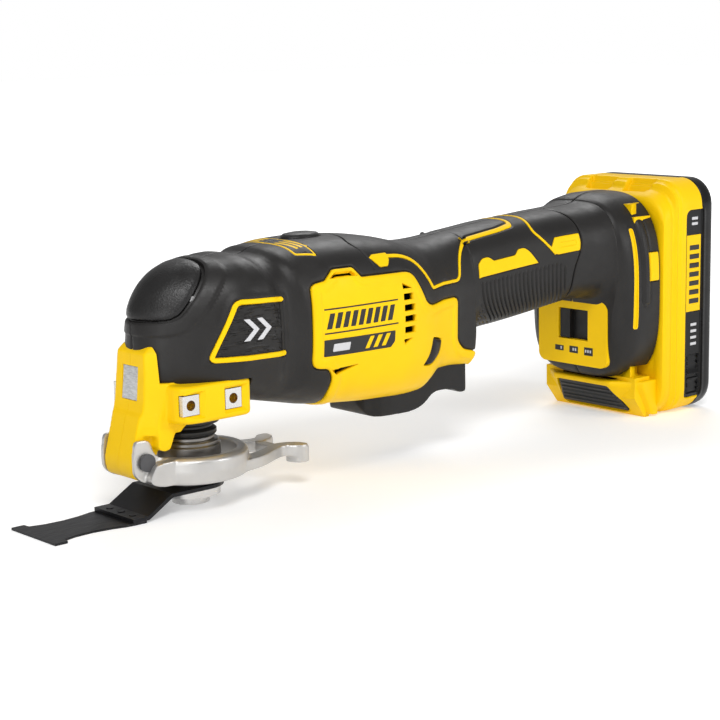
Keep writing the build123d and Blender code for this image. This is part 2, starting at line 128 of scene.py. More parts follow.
def bump(tree, shader, height, depth, before=None):
    """Raises the surface by up to depth millimetres where height is 1."""
    node = tree.nodes.new("ShaderNodeBump")
    node.inputs["Strength"].default_value = 1.0
    node.inputs["Distance"].default_value = depth / 1000
    tree.links.new(height, node.inputs["Height"])
    if before is not None:
        tree.links.new(before, node.inputs["Normal"])
    tree.links.new(node.outputs["Normal"], shader.inputs["Normal"])
    return node.outputs["Normal"]


def surface(name, colour, spread, roughness, grain, depth, metallic=0.0, gloss=0.5, stretch=(1, 1, 1)):
    """A moulded, cast or drawn surface: cloudy colour, uneven gloss and two sizes of grain."""
    material, tree, shader, place = node_material(name, roughness, metallic, gloss)
    clouds = noise(tree, place, 14.0, 4.0)
    dark = [c * (1 - spread) for c in colour]
    light = [min(1.0, c * (1 + spread)) for c in colour]
    tree.links.new(ramp(tree, clouds, dark, light), shader.inputs["Base Color"])
    smear = noise(tree, place, 5.0, 5.0, stretch)
    tree.links.new(remap(tree, smear, roughness - 0.05, roughness + 0.07), shader.inputs["Roughness"])
    fine = bump(tree, shader, noise(tree, place, grain, 2.0, stretch), depth)
    bump(tree, shader, noise(tree, place, grain * 4.5, 3.0, stretch), depth * 0.8, fine)
    return material


def worn_steel(name, colour, bare, roughness):
    """Dark finished steel with draw lines along the tool and bare metal in the finest scratches."""
    material, tree, shader, place = node_material(name, roughness, 0.75)
    lines = noise(tree, place, 6.0, 8.0, (1, 9, 1))
    scratch = noise(tree, place, 1.2, 6.0, (0.12, 2.2, 1))
    tone = ramp(tree, lines, colour, [c * 1.7 for c in colour])
    mix = tree.nodes.new("ShaderNodeMix")
    mix.data_type = "RGBA"
    mix.inputs["B"].default_value = (*bare, 1)
    tree.links.new(tone, mix.inputs["A"])
    tree.links.new(ramp(tree, scratch, (0, 0, 0), (0.6, 0.6, 0.6), 0.66, 0.8), mix.inputs["Factor"])
    tree.links.new(mix.outputs["Result"], shader.inputs["Base Color"])
    tree.links.new(remap(tree, lines, roughness - 0.08, roughness + 0.1), shader.inputs["Roughness"])
    bump(tree, shader, scratch, 0.03)
    return material


def clear_plastic(name):
    """The lamp's window, with fine prisms moulded into it."""
    material, tree, shader, place = node_material(name, 0.12)
    shader.inputs["Transmission Weight"].default_value = 0.45
    shader.inputs["IOR"].default_value = 1.49
    clouds = noise(tree, place, 2.5, 3.0, (1, 1, 3))
    tree.links.new(ramp(tree, clouds, (0.62, 0.63, 0.64), (0.95, 0.96, 0.97)), shader.inputs["Base Color"])
    bump(tree, shader, noise(tree, place, 1.6, 1.0, (1, 1, 2.5)), 0.25)
    return material


def board_material(name, colour):
    """A printed circuit board: solder mask with copper tracks that show through as ridges."""
    material, tree, shader, place = node_material(name, 0.35)
    brick = tree.nodes.new("ShaderNodeTexBrick")
    brick.inputs["Scale"].default_value = 400.0
    brick.inputs["Color1"].default_value = (*colour, 1)
    brick.inputs["Color2"].default_value = (*[c * 0.7 for c in colour], 1)
    brick.inputs["Mortar"].default_value = (*[c * 1.8 for c in colour], 1)
    tree.links.new(place, brick.inputs["Vector"])
    tree.links.new(brick.outputs["Color"], shader.inputs["Base Color"])
    bump(tree, shader, brick.outputs["Fac"], 0.05)
    return material


YELLOW, INK = (0.90, 0.56, 0.0015), (0.013, 0.0125, 0.0125)
MATERIALS = {
    "yellow_shell": surface("moulded_yellow", YELLOW, 0.02, 0.42, 0.5, 0.012, gloss=0.14),
    "black_overmold": surface("soft_black_skin", (0.0135, 0.0125, 0.012), 0.14, 0.43, 0.45, 0.035,
                              gloss=0.3),
    "palm_rubber": surface("grained_rubber", (0.011, 0.0105, 0.0105), 0.15, 0.38, 0.8, 0.13, gloss=0.34),
    "trigger_plastic": surface("satin_black", (0.012, 0.0115, 0.0115), 0.1, 0.4, 0.5, 0.02, gloss=0.28),
    "black_case": surface("case_black", (0.006, 0.006, 0.0063), 0.1, 0.3, 0.5, 0.012, gloss=0.2),
    "latch_plastic": surface("latch_black", (0.013, 0.013, 0.0135), 0.1, 0.36, 0.5, 0.02, gloss=0.4),
    "black_plastic": surface("inner_black", (0.012, 0.012, 0.012), 0.1, 0.45, 0.6, 0.02, gloss=0.4),
    "boot_rubber": surface("boot_rubber", (0.010, 0.010, 0.010), 0.1, 0.4, 0.7, 0.03),
    "cast_silver": surface("cast_silver", (0.56, 0.55, 0.535), 0.06, 0.4, 0.55, 0.035, 0.85),
    "cast_aluminium": surface("cast_aluminium", (0.5, 0.5, 0.5), 0.06, 0.5, 0.7, 0.05, 0.9),
    "bright_steel": surface("bright_steel", (0.66, 0.65, 0.64), 0.05, 0.26, 0.9, 0.008, 1.0,
                            stretch=(1, 1, 5)),
    "brushed_steel": surface("turned_steel", (0.30, 0.29, 0.28), 0.08, 0.34, 0.7, 0.02, 0.95,
                             stretch=(1, 1, 7)),
    "bearing_steel": surface("bearing_steel", (0.7, 0.7, 0.72), 0.03, 0.16, 0.8, 0.005, 1.0),
    "dark_steel": surface("phosphated_steel", (0.10, 0.10, 0.105), 0.15, 0.42, 0.6, 0.02, 0.8),
    "screw_steel": surface("black_oxide", (0.08, 0.08, 0.085), 0.15, 0.35, 0.5, 0.015, 0.8),
    "magnet_steel": surface("nickel_plate", (0.5, 0.48, 0.44), 0.05, 0.25, 0.6, 0.01, 1.0),
    "laminated_steel": surface("laminated_steel", (0.33, 0.33, 0.35), 0.1, 0.4, 0.5, 0.1, 0.9,
                               stretch=(9, 1, 1)),
    "spring_steel": surface("spring_wire", (0.42, 0.42, 0.43), 0.05, 0.3, 0.5, 0.01, 1.0),
    "copper": surface("enamelled_copper", (0.72, 0.28, 0.11), 0.12, 0.3, 0.6, 0.12, 0.9, stretch=(9, 1, 1)),
    "cell_wrap": surface("cell_wrap", (0.04, 0.18, 0.5), 0.05, 0.3, 0.8, 0.01),
    "lead_sleeve": surface("lead_sleeve", (0.5, 0.02, 0.015), 0.05, 0.35, 0.6, 0.01),
    "tool_steel": worn_steel("tool_steel", (0.014, 0.014, 0.0155), (0.25, 0.24, 0.23), 0.4),
    "led_lens": clear_plastic("led_lens"),
    "circuit_board": board_material("circuit_board", (0.015, 0.12, 0.05)),
}
PRINT_BLACK = surface("printed_black", INK, 0.06, 0.4, 0.6, 0.006, gloss=0.4)
PRINT_GREY = surface("printed_grey", (0.56, 0.56, 0.58), 0.03, 0.42, 0.6, 0.006)


# ---- pieces ----
def piece(name, points, faces, body, slot, material=None, replaces=(), sharp=34.0):
    """A mesh from points in millimetres that rides on a body and stands for CAD nodes."""
    mesh = bpy.data.meshes.new(name)
    mesh.from_pydata(metres(points).tolist(), [], [list(map(int, f)) for f in faces])
    mesh.validate()
    return finished(name, mesh, body, slot, material, replaces, sharp)


def finished(name, mesh, body, slot, material=None, replaces=(), sharp=34.0):
    """Shades a mesh smoothly between its sharp edges and gives it its body and its material, the slot's own
    unless one is given.
    """
    mesh.materials.clear()
    mesh.materials.append(material or MATERIALS[slot])
    mesh.polygons.foreach_set("use_smooth", [True] * len(mesh.polygons))
    mesh.polygons.foreach_set("material_index", [0] * len(mesh.polygons))
    mesh.set_sharp_from_angle(angle=radians(sharp))
    mesh.update()
    thing = bpy.data.objects.new(name, mesh)
    bpy.context.scene.collection.objects.link(thing)
    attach(thing, body)
    if replaces:
        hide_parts(*replaces)
    return thing


def thicken(thing, thickness):
    """Gives a skin its wall, inwards from the surface."""
    wall = thing.modifiers.new("wall", "SOLIDIFY")
    wall.thickness = thickness / 1000
    wall.offset = -1.0
    return thing


def round_edges(thing, width, angle=35.0, segments=2):
    """Small rounds on a hard-edged piece."""
    bevel = thing.modifiers.new("edges", "BEVEL")
    bevel.width = width / 1000
    bevel.segments = segments
    bevel.limit_method = "ANGLE"
    bevel.angle_limit = radians(angle)
    bevel.harden_normals = True
    return thing


# ---- outlines ----
def softened(corners, closed=True, steps=6):
    """Corners (u, v, radius) as a line of points, with each corner rounded by a parabola."""
    line = []
    count = len(corners)
    for i, (u, v, radius) in enumerate(corners):
        corner = np.array((u, v), float)
        if radius <= 0 or (not closed and i in (0, count - 1)):
            line.append(corner)
            continue
        back = np.array(corners[i - 1][:2]) - corner
        on = np.array(corners[(i + 1) % count][:2]) - corner
        cut = min(radius, 0.48 * np.linalg.norm(back), 0.48 * np.linalg.norm(on))
        start = corner + back / np.linalg.norm(back) * cut
        end = corner + on / np.linalg.norm(on) * cut
        for t in np.linspace(0, 1, steps):
            line.append((1 - t) ** 2 * start + 2 * t * (1 - t) * corner + t * t * end)
    return np.array(line)


def parallelogram(x0, x1, z0, z1, lean, radius=0.2):
    """The outline of a bar that leans to the right by lean."""
    return [(x0, z0, radius), (x0 + lean, z1, radius), (x1 + lean, z1, radius), (x1, z0, radius)]


def slot_outline(x0, x1, z0, z1, radius=0.4):
    """The outline of an upright bar."""
    return parallelogram(x0, x1, z0, z1, 0, radius)


def side(points):
    """X and Z, the same for both sides of the tool."""
    return points[:, [0, 2]]


def plan(points):
    """X and the distance from the middle plane."""
    return np.stack([points[:, 0], np.abs(points[:, 1])], 1)


def front(points):
    """Distance from the middle plane and Z."""
    return np.stack([np.abs(points[:, 1]), points[:, 2]], 1)


FAR = 9.0  # fields stop here, away from their outline
NEAR = 0.16  # a point this close to a cut, as a share of its edge, moves onto it


def gap_to(points, line):
    """Distance from points to a chain of straight stretches."""
    a, b = line[:-1], line[1:]
    d = b - a
    rel = points[:, None] - a
    t = np.clip((rel * d).sum(-1) / np.maximum((d * d).sum(-1), 1e-9), 0, 1)
    return np.sqrt(((rel - t[..., None] * d) ** 2).sum(-1).min(1))


def within(points, loop):
    """Whether points lie inside a closed outline."""
    a, b = loop, np.roll(loop, -1, 0)
    x, y = points[:, 0][:, None], points[:, 1][:, None]
    rise = np.where(b[:, 1] == a[:, 1], 1e-9, b[:, 1] - a[:, 1])
    crosses = ((a[:, 1] > y) != (b[:, 1] > y)) & (x < (b[:, 0] - a[:, 0]) * (y - a[:, 1]) / rise + a[:, 0])
    return crosses.sum(1) % 2 == 1


def field_near(line, view, limit, value_at):
    """A field with value_at beside a line and -FAR elsewhere. limit is a second field."""
    low, high = line.min(0) - FAR, line.max(0) + FAR

    def field(points):
        flat = view(points)
        value = np.full(len(flat), -FAR)
        near = ((flat > low) & (flat < high)).all(1)
        if near.any():
            value[near] = value_at(flat[near])
        return value if limit is None else np.minimum(value, limit(points))

    return field


def area(corners, view=side, limit=None):
    """A field that is positive inside an outline, in millimetres from it."""
    loop = softened(corners)
    line = np.vstack([loop, loop[:1]])

    def inside(flat):
        gap = np.minimum(gap_to(flat, line), FAR)
        return np.where(within(flat, loop), gap, -gap)

    return field_near(loop, view, limit, inside)


def stripe(corners, width, view=side, limit=None):
    """A field that is positive on a line of some width."""
    line = softened(corners, closed=False)
    return field_near(line, view, limit, lambda flat: np.maximum(width / 2 - gap_to(flat, line), -FAR))


def union(*fields):
    """Positive where any of the fields is."""
    return lambda points: np.max([f(points) for f in fields], 0)


def both(*fields):
    """Positive where all of the fields are."""
    return lambda points: np.min([f(points) for f in fields], 0)


def upper(points):
    """Positive on the upper half of the body."""
    return (points[:, 2] - 75) / 3


# ---- skins: surfaces cut along their outlines ----
def smooth(t):
    """From 0 to 1 as t goes from 0 to 1, with level ends."""
    t = np.clip(t, 0, 1)
    return t * t * (3 - 2 * t)


def flowing(t, y, at):
    """Values y at t, carried smoothly to at without overshoot (monotone cubic)."""
    h = np.diff(t)
    m = np.diff(y, axis=0) / h[:, None]
    d = np.zeros_like(y)
    w1, w2 = 2 * h[1:] + h[:-1], h[1:] + 2 * h[:-1]
    a, b = m[:-1], m[1:]
    with np.errstate(divide="ignore", invalid="ignore"):
        d[1:-1] = np.where(a * b > 0, (w1 + w2)[:, None] / (w1[:, None] / a + w2[:, None] / b), 0)
    d[0], d[-1] = m[0], m[-1]
    k = np.clip(np.searchsorted(t, at) - 1, 0, len(h) - 1)
    s, hk = ((at - t[k]) / h[k])[:, None], h[k][:, None]
    return (
        (1 + 2 * s) * (1 - s) ** 2 * y[k] + s * (1 - s) ** 2 * hk * d[k]
        + s * s * (3 - 2 * s) * y[k + 1] + s * s * (s - 1) * hk * d[k + 1]
    )  # fmt: skip


SPREAD_FROM, SPREAD = 50, 22  # height and depth of the band where the lower half width turns into the upper


def loft(stations, step, around):
    """Rings of points along X. A station is x, half width above and below, bottom, top, and squareness
    above and below."""
    stations = np.array(stations, float)
    moves = np.abs(np.diff(stations[:, :5], axis=0))
    t = np.r_[0, np.cumsum(moves.max(1) + 0.3 * np.linalg.norm(moves, axis=1))]
    rings = []
    theta = np.linspace(-pi / 2, 1.5 * pi, 721)
    c, s = np.cos(theta), np.sin(theta)
    places = np.linspace(0, t[-1], int(t[-1] / step) + 1)
    for x, above, below, low, high, n_up, n_down in flowing(t, stations, places):
        n = np.where(s > 0, n_up, n_down)
        z = (low + high) / 2 + np.sign(s) * np.abs(s) ** (2 / n) * (high - low) / 2
        y = np.sign(c) * np.abs(c) ** (2 / n) * (below + (above - below) * smooth((z - SPREAD_FROM) / SPREAD))
        run = np.r_[0, np.cumsum(np.hypot(np.diff(y), np.diff(z)))]
        at = np.linspace(0, run[-1], around + 1)[:-1]
        rings.append(np.stack([np.full(around, x), np.interp(at, run, y), np.interp(at, run, z)], 1))
    return np.array(rings)


def triangles(rings, around):
    """Faces between rings, as triangles."""
    i = np.arange(rings - 1)[:, None] * around
    j = np.arange(around)[None, :]
    k = (j + 1) % around
    quad = np.stack([i + j, i + k, i + around + k, i + around + j], -1).reshape(-1, 4)
    return np.r_[quad[:, [0, 1, 2]], quad[:, [0, 2, 3]]]


def vertex_normals(points, faces):
    """Unit normals, weighted by the area of the faces round each point."""
    a, b, c = (points[faces[:, i]] for i in range(3))
    flat = np.cross(b - a, c - a)
    normals = np.zeros_like(points)
    for i in range(3):
        np.add.at(normals, faces[:, i], flat)
    return normals / np.maximum(np.linalg.norm(normals, axis=1), 1e-12)[:, None]


class Skin:
    """A surface of triangles that is cut along lines of fields, then raised along its normals."""

    def __init__(self, points, faces):
        self.points, self.faces = points, faces
        self.normals = vertex_normals(points, faces)
        self.lifts = []

    def cut(self, field, *levels, where=None):
        """New edges where field equals each level. Points very near a line move onto it."""
        value = field(self.points)
        for level in levels or (0.0,):
            value = self.cut_once(value, level, where)

    def cut_once(self, value, level, where):
        value = value - level
        corners = value[self.faces]
        crossed = self.faces[(corners.min(1) < 0) & (corners.max(1) > 0)]
        if where is not None and len(crossed):
            crossed = crossed[where(self.points[crossed].mean(1)) > 0]
        keys = np.unique(self.edges(crossed))
        low, high = self.ends(keys)
        for a, b in ((low, high), (high, low)):
            cross = value[a] * value[b] < 0
            a, b = a[cross], b[cross]
            t = value[a] / (value[a] - value[b])
            a, b, t = a[t < NEAR], b[t < NEAR], t[t < NEAR]
            self.points[a] += t[:, None] * (self.points[b] - self.points[a])
            value[a] = 0
        cross = value[low] * value[high] < 0
        keys, low, high = keys[cross], low[cross], high[cross]
        self.split(keys, value[low] / (value[low] - value[high]))
        return np.r_[value, np.zeros(len(keys))] + level

    def edges(self, faces):
        """One number for each edge of each face, made from its two ends."""
        faces = faces.astype(np.int64)
        on = np.roll(faces, -1, 1)
        return np.minimum(faces, on) * len(self.points) + np.maximum(faces, on)

    def ends(self, keys):
        return keys // len(self.points), keys % len(self.points)

    def split(self, keys, t):
        """A new point at t along each of some edges, and the faces beside them divided."""
        if not len(keys):
            return
        count = len(self.points)
        low, high = self.ends(keys)
        touched = np.zeros(count, bool)
        touched[low] = touched[high] = True
        near = touched[self.faces].sum(1) > 1
        faces, far = self.faces[near].astype(np.int64), self.faces[~near]
        edge = self.edges(faces)
        place = np.minimum(np.searchsorted(keys, edge), len(keys) - 1)
        split, middle = keys[place] == edge, count + place
        number = split.sum(1)
        parts = [far, faces[number == 0]]
        rows = np.nonzero(number == 1)[0]
        k = split[rows].argmax(1)
        a, b, c = (faces[rows, (k + i) % 3] for i in range(3))
        m = middle[rows, k]
        parts += [np.stack([a, m, c], 1), np.stack([m, b, c], 1)]
        rows = np.nonzero(number == 2)[0]
        k = (split[rows].argmin(1) + 2) % 3
        a, b, c = (faces[rows, (k + i) % 3] for i in range(3))
        p, q = middle[rows, k], middle[rows, (k + 2) % 3]
        parts += [np.stack([a, p, q], 1), np.stack([p, b, q], 1), np.stack([b, c, q], 1)]
        rows = np.nonzero(number == 3)[0]
        a, b, c = faces[rows].T
        p, q, r = middle[rows].T
        parts += [np.stack(f, 1) for f in ((a, p, r), (p, b, q), (q, c, r), (p, q, r))]
        t = np.broadcast_to(t, len(keys))[:, None]
        self.points = np.vstack([self.points, self.points[low] + t * (self.points[high] - self.points[low])])
        added = self.normals[low] + t * (self.normals[high] - self.normals[low])
        self.normals = np.vstack([self.normals, added / np.linalg.norm(added, axis=1)[:, None]])
        self.faces = np.vstack(parts)

    def refine(self, length, *fields, reach=1.0):
        """Halves the edges near the outlines of fields until they are shorter than length."""
        for field in fields:
            for _ in range(2):
                near = self.faces[np.abs(field(self.middles())) < reach]
                keys = np.unique(self.edges(near))
                low, high = self.ends(keys)
                long = np.linalg.norm(self.points[low] - self.points[high], axis=1) > length
                self.split(keys[long], 0.5)

    def relief(self, field, *steps):
        """Raises the surface by the second number of each step where field equals the first."""
        self.cut(field, *[level for level, _ in steps])
        self.lifts.append((field, *np.array(steps, float).T))

    def middles(self):
        return self.points[self.faces].mean(1)

    def raised(self):
        lift = sum(np.interp(field(self.points), at, height) for field, at, height in self.lifts)
        return self.points + self.normals * np.asarray(lift)[:, None]


def patch(name, skin, shape, chosen, body, slot, thickness, material=None, replaces=()):
    """One piece from the chosen faces of a skin, with a wall."""
    faces = skin.faces[chosen]
    used, index = np.unique(faces, return_inverse=True)
    thing = piece(name, shape[used], index.reshape(-1, 3), body, slot, material, replaces, 40)
    return thicken(thing, thickness)


# ---- the body's surface ----
BODY = [
    (-26.0, 1.5, 2.0, 66.0, 73.5, 2.0, 2.2),
    (-25.6, 4.0, 6.0, 57.0, 78.5, 1.9, 2.4),
    (-24.4, 7.0, 9.5, 51.0, 83.0, 1.85, 2.6),
    (-21.5, 11.0, 13.8, 48.0, 87.8, 1.85, 2.8),
    (-16.0, 15.5, 18.0, 46.0, 93.8, 1.9, 2.9),
    (-8.0, 21.0, 23.0, 44.5, 98.0, 2.0, 3.0),
    (2.0, 25.8, 26.6, 43.6, 100.2, 2.4, 3.0),
    (10.6, 28.7, 28.4, 43.0, 100.9, 2.8, 3.0),
    (15.5, 29.1, 28.4, 42.4, 101.5, 3.0, 3.0),
    (26.0, 29.2, 28.6, 40.0, 102.0, 3.0, 3.0),
    (38.0, 30.2, 29.8, 37.4, 103.0, 3.0, 3.0),
    (50.0, 32.4, 32.0, 35.0, 104.2, 3.2, 3.2),
    (67.0, 33.2, 33.0, 33.3, 104.5, 3.3, 3.3),
    (80.0, 33.2, 33.0, 32.2, 103.8, 3.3, 3.3),
    (92.0, 33.0, 32.8, 31.7, 102.6, 3.3, 3.3),
    (104.0, 31.2, 31.2, 31.2, 100.0, 3.1, 3.3),
    (111.0, 29.2, 29.4, 31.6, 98.5, 3.0, 3.5),
    (116.0, 27.5, 27.8, 34.6, 97.7, 2.9, 3.8),
    (119.6, 26.4, 26.6, 38.3, 97.4, 2.9, 4.4),
    (124.0, 25.2, 25.2, 40.3, 97.3, 2.9, 5.0),
    (132.0, 23.0, 23.4, 40.6, 97.8, 2.8, 5.6),
    (144.2, 21.2, 22.0, 39.6, 99.2, 2.7, 6.0),
    (145.3, 21.1, 21.9, 40.6, 99.3, 2.7, 5.0),
    (145.6, 21.0, 21.4, 46.0, 99.4, 2.7, 3.4),
    (147.6, 20.8, 21.0, 50.4, 99.6, 2.7, 2.9),
    (151.0, 20.7, 20.8, 52.8, 99.9, 2.7, 2.7),
    (158.0, 20.6, 20.6, 53.7, 100.6, 2.7, 2.7),
    (170.0, 20.6, 20.6, 54.6, 101.8, 2.7, 2.7),
    (190.0, 21.2, 21.0, 56.6, 103.0, 2.7, 2.7),
    (206.0, 22.0, 21.4, 58.6, 104.0, 2.7, 2.7),
    (220.0, 23.6, 22.4, 60.0, 104.6, 2.7, 2.7),
    (229.0, 25.6, 23.2, 60.0, 105.2, 2.8, 2.8),
    (233.2, 27.2, 24.0, 58.6, 106.0, 2.9, 3.4),
    (234.4, 28.0, 24.4, 50.0, 106.6, 2.9, 4.5),
    (234.8, 28.6, 24.8, 31.0, 107.0, 3.0, 4.5),
    (236.4, 29.8, 27.5, 25.0, 107.8, 3.1, 4.5),
    (240.0, 31.6, 31.0, 20.4, 109.0, 2.8, 3.6),
    (246.0, 33.0, 33.2, 19.0, 109.8, 2.7, 3.4),
    (FOOT_REAR, 33.8, 33.8, 18.8, 109.8, 2.8, 3.4),
]
PALM = [(-45, 79.6, 0), (-15.5, 78.8, 5), (-9, 86.5, 6), (3.4, 101.5, 3), (3.4, 125, 0), (-45, 125, 0)]
SIDE_PANEL = [
    (42.0, 88.4, 3.0), (49.0, 89.6, 0.8), (54.0, 93.8, 1.2), (64.3, 93.8, 1.2), (68.0, 89.4, 0.8),
    (97.5, 88.9, 7.0), (103.2, 80.5, 4.0), (106.6, 74.0, 4.0), (112.0, 72.0, 3.0), (122.0, 73.2, 2.0),
    (132.8, 73.0, 3.5), (131.8, 53.4, 2.5), (136.8, 48.8, 2.0), (147.0, 46.2, 0), (147.0, 28.0, 0),
    (57.0, 28.0, 0), (52.5, 41.0, 1.5), (52.4, 48.4, 2.5), (50.0, 52.6, 2.0), (42.0, 53.4, 4.0),
]  # fmt: skip
FLAG = [(75.8, 96.4, 0.4), (80.0, 92.0, 0.5), (84.6, 92.0, 0.8), (86.6, 94.6, 0.8), (86.6, 97.4, 0.4),
        (78, 97.4, 0.4)]
ACCENT = [(78.5, 96.4, 0), (94, 95.6, 6), (103, 92.4, 5), (109.0, 85.6, 3), (113.4, 79.4, 0.6),
          (122, 80.2, 1), (134.6, 80.0, 2.6), (137.6, 90.0, 5), (146.0, 96.4, 4), (168.0, 98.9, 2),
          (178.0, 100.4, 1.6), (181.5, 106.0, 0)]  # fmt: skip
REAR_ACCENT = [(192.6, 108.0, 0), (188.0, 101.5, 3), (187.0, 97.0, 3), (198.2, 85.9, 0)]
BLOCK = [(199.0, 93.2, 0.6), (214.4, 94.0, 0.8), (215.0, 86.0, 1.6), (199.4, 85.0, 1.4), (195.6, 88.2, 0.6)]
BADGE = [(148.6, 79.0, 0.4), (150.4, 79.4, 0.3), (187.2, 82.4, 0.4), (182.0, 88.2, 0.8), (179.0, 90.2, 1.4),
         (174.8, 89.9, 1.4), (172.6, 87.4, 0.8), (158.6, 86.2, 0.8), (155.6, 88.2, 1.4), (151.4, 87.9, 1.4),
         (148.6, 85.4, 0.8)]  # fmt: skip
HEAD_LABEL = [(-6.2, 61.4, 2.2), (6.0, 86.2, 2.2), (29.4, 85.2, 0.4), (29.4, 61.0, 0.4)]
LABEL_STROKE = [(28.6, 84.2, 0), (6.6, 85.0, 2.6), (-4.9, 62.5, 2.6), (28.9, 61.9, 0)]
GRIP_RIBS = [(148.6, 77.6, 1), (189.0, 81.0, 3), (205.0, 82.5, 6), (209.0, 60.0, 3), (206.0, 45.0, 0),
             (148.6, 45.0, 0)]
RIB_START, RIB_PITCH, RIB_GROOVE = 150.4, 2.7, 0.75  # first groove, spacing, and half width and depth
RIB_SAG = 0.0011  # how far the ribs sweep back towards the underside
WAIST = [(27.0, 101.0, 0), (30.0, 92.0, 8), (32.4, 72.0, 8), (34.4, 52.0, 0)]
GRIP_SEAM = [(208.0, 110.0, 0), (214.6, 101.0, 5), (215.6, 88.0, 8), (209.6, 76.0, 6), (211.0, 64.0, 0)]
TOP_SEAM = [(79.4, -1.0, 0), (70.4, 20.0, 3), (76.2, 30.0, 0)]
SLIT = slot_outline(242.0, 244.6, 45.6, 94.0, 1.2)
RIDGE = slot_outline(248.0, 252.6, 57.0, 98.0, 2.4)
TAB = slot_outline(251.6, 258.7, 68.0, 82.0, 0.6)
LOCK_SLOT = [(104.2, 46.4, 0.8), (108.9, 51.6, 5), (111.0, 58.4, 1.4), (118.6, 56.6, 1.6), (117.2, 50.4, 4),
             (110.4, 45.6, 2.5)]  # fmt: skip
WINDOW = [(0, 31.0, 0), (21.0, 31.0, 1), (21.0, 57.0, 1), (0, 57.0, 0)]
PADDLE_GAP = [(81.6, -1, 0), (81.6, 17.0, 8), (146.2, 17.0, 1), (146.2, -1, 0)]
NECK = [(-60, 20, 0), (COLLAR_REAR + 0.2, 20, 0), (COLLAR_REAR + 0.2, 53.7, 1.0), (-60, 53.7, 0)]
LINE_START, LINE_PITCH = 63.6, 1.75  # fine grooves across the head's label
FOOT_FRONT = 234.6
CHANNEL_FRONT, CHANNEL_HALF, CHANNEL_TOP = 247.0, 26.0, 98.5  # the channel that the pack's rails hang in
DOME = (61.5, 9.8, 6.8)  # middle, half length and half width of the raised pad on top


def vents():
    """The outlets beside the fan, a column of slots with a triangle at each end, and two by the motor."""
    slots = ((90.6, 96.9), (90.9, 98.0), (91.1, 98.4), (91.0, 97.8))
    outlines = [[(90.2, 84.6, 0.2), (96.2, 81.8, 0.2), (90.4, 81.8, 0.2)]]
    for k, (x0, x1) in enumerate(slots):
        z = 78.3 - 4.75 * k
        outlines.append(slot_outline(x0, x1, z - 1.45, z + 1.45))
    outlines.append([(90.4, 60.2, 0.2), (96.0, 60.4, 0.2), (91.0, 57.6, 0.2)])
    outlines.append([(50.8, 90.0, 0.3), (55.2, 92.7, 0.6), (63.2, 92.7, 0.6), (66.2, 90.0, 0.3)])
    outlines.append([(50.6, 52.4, 0.2), (65.4, 53.2, 0.3), (54.0, 49.6, 0.3)])
    return union(*[area(o) for o in outlines])


def graphics():
    """Print on the side panel: two rules with slanted bars between them, and a plate below."""
    marks = [slot_outline(47.0, 87.0, z, z + 0.6, 0) for z in (67.5, 77.5)]
    marks += [parallelogram(48 + 4.1 * k, 50.6 + 4.1 * k, 69.6, 76.0, 1.8) for k in range(9)]
    marks.append([(46.8, 58.2, 0.3), (46.8, 65.2, 0.3), (85.2, 64.9, 0.3), (85.0, 60.4, 0.3),
                  (82.6, 58.0, 0.3)])
    return union(*[area(m) for m in marks])


def chevrons(x, z, width, height, count, pitch):
    """Arrowheads pointing at the battery, side by side."""
    marks = []
    for k in range(count):
        a = x + k * pitch
        b = a + 2.6
        marks.append([(a, z - height, 0), (a + width, z, 0), (a, z + height, 0), (b, z + height, 0),
                      (b + width, z, 0), (b, z - height, 0)])  # fmt: skip
    return union(*[area(m) for m in marks])


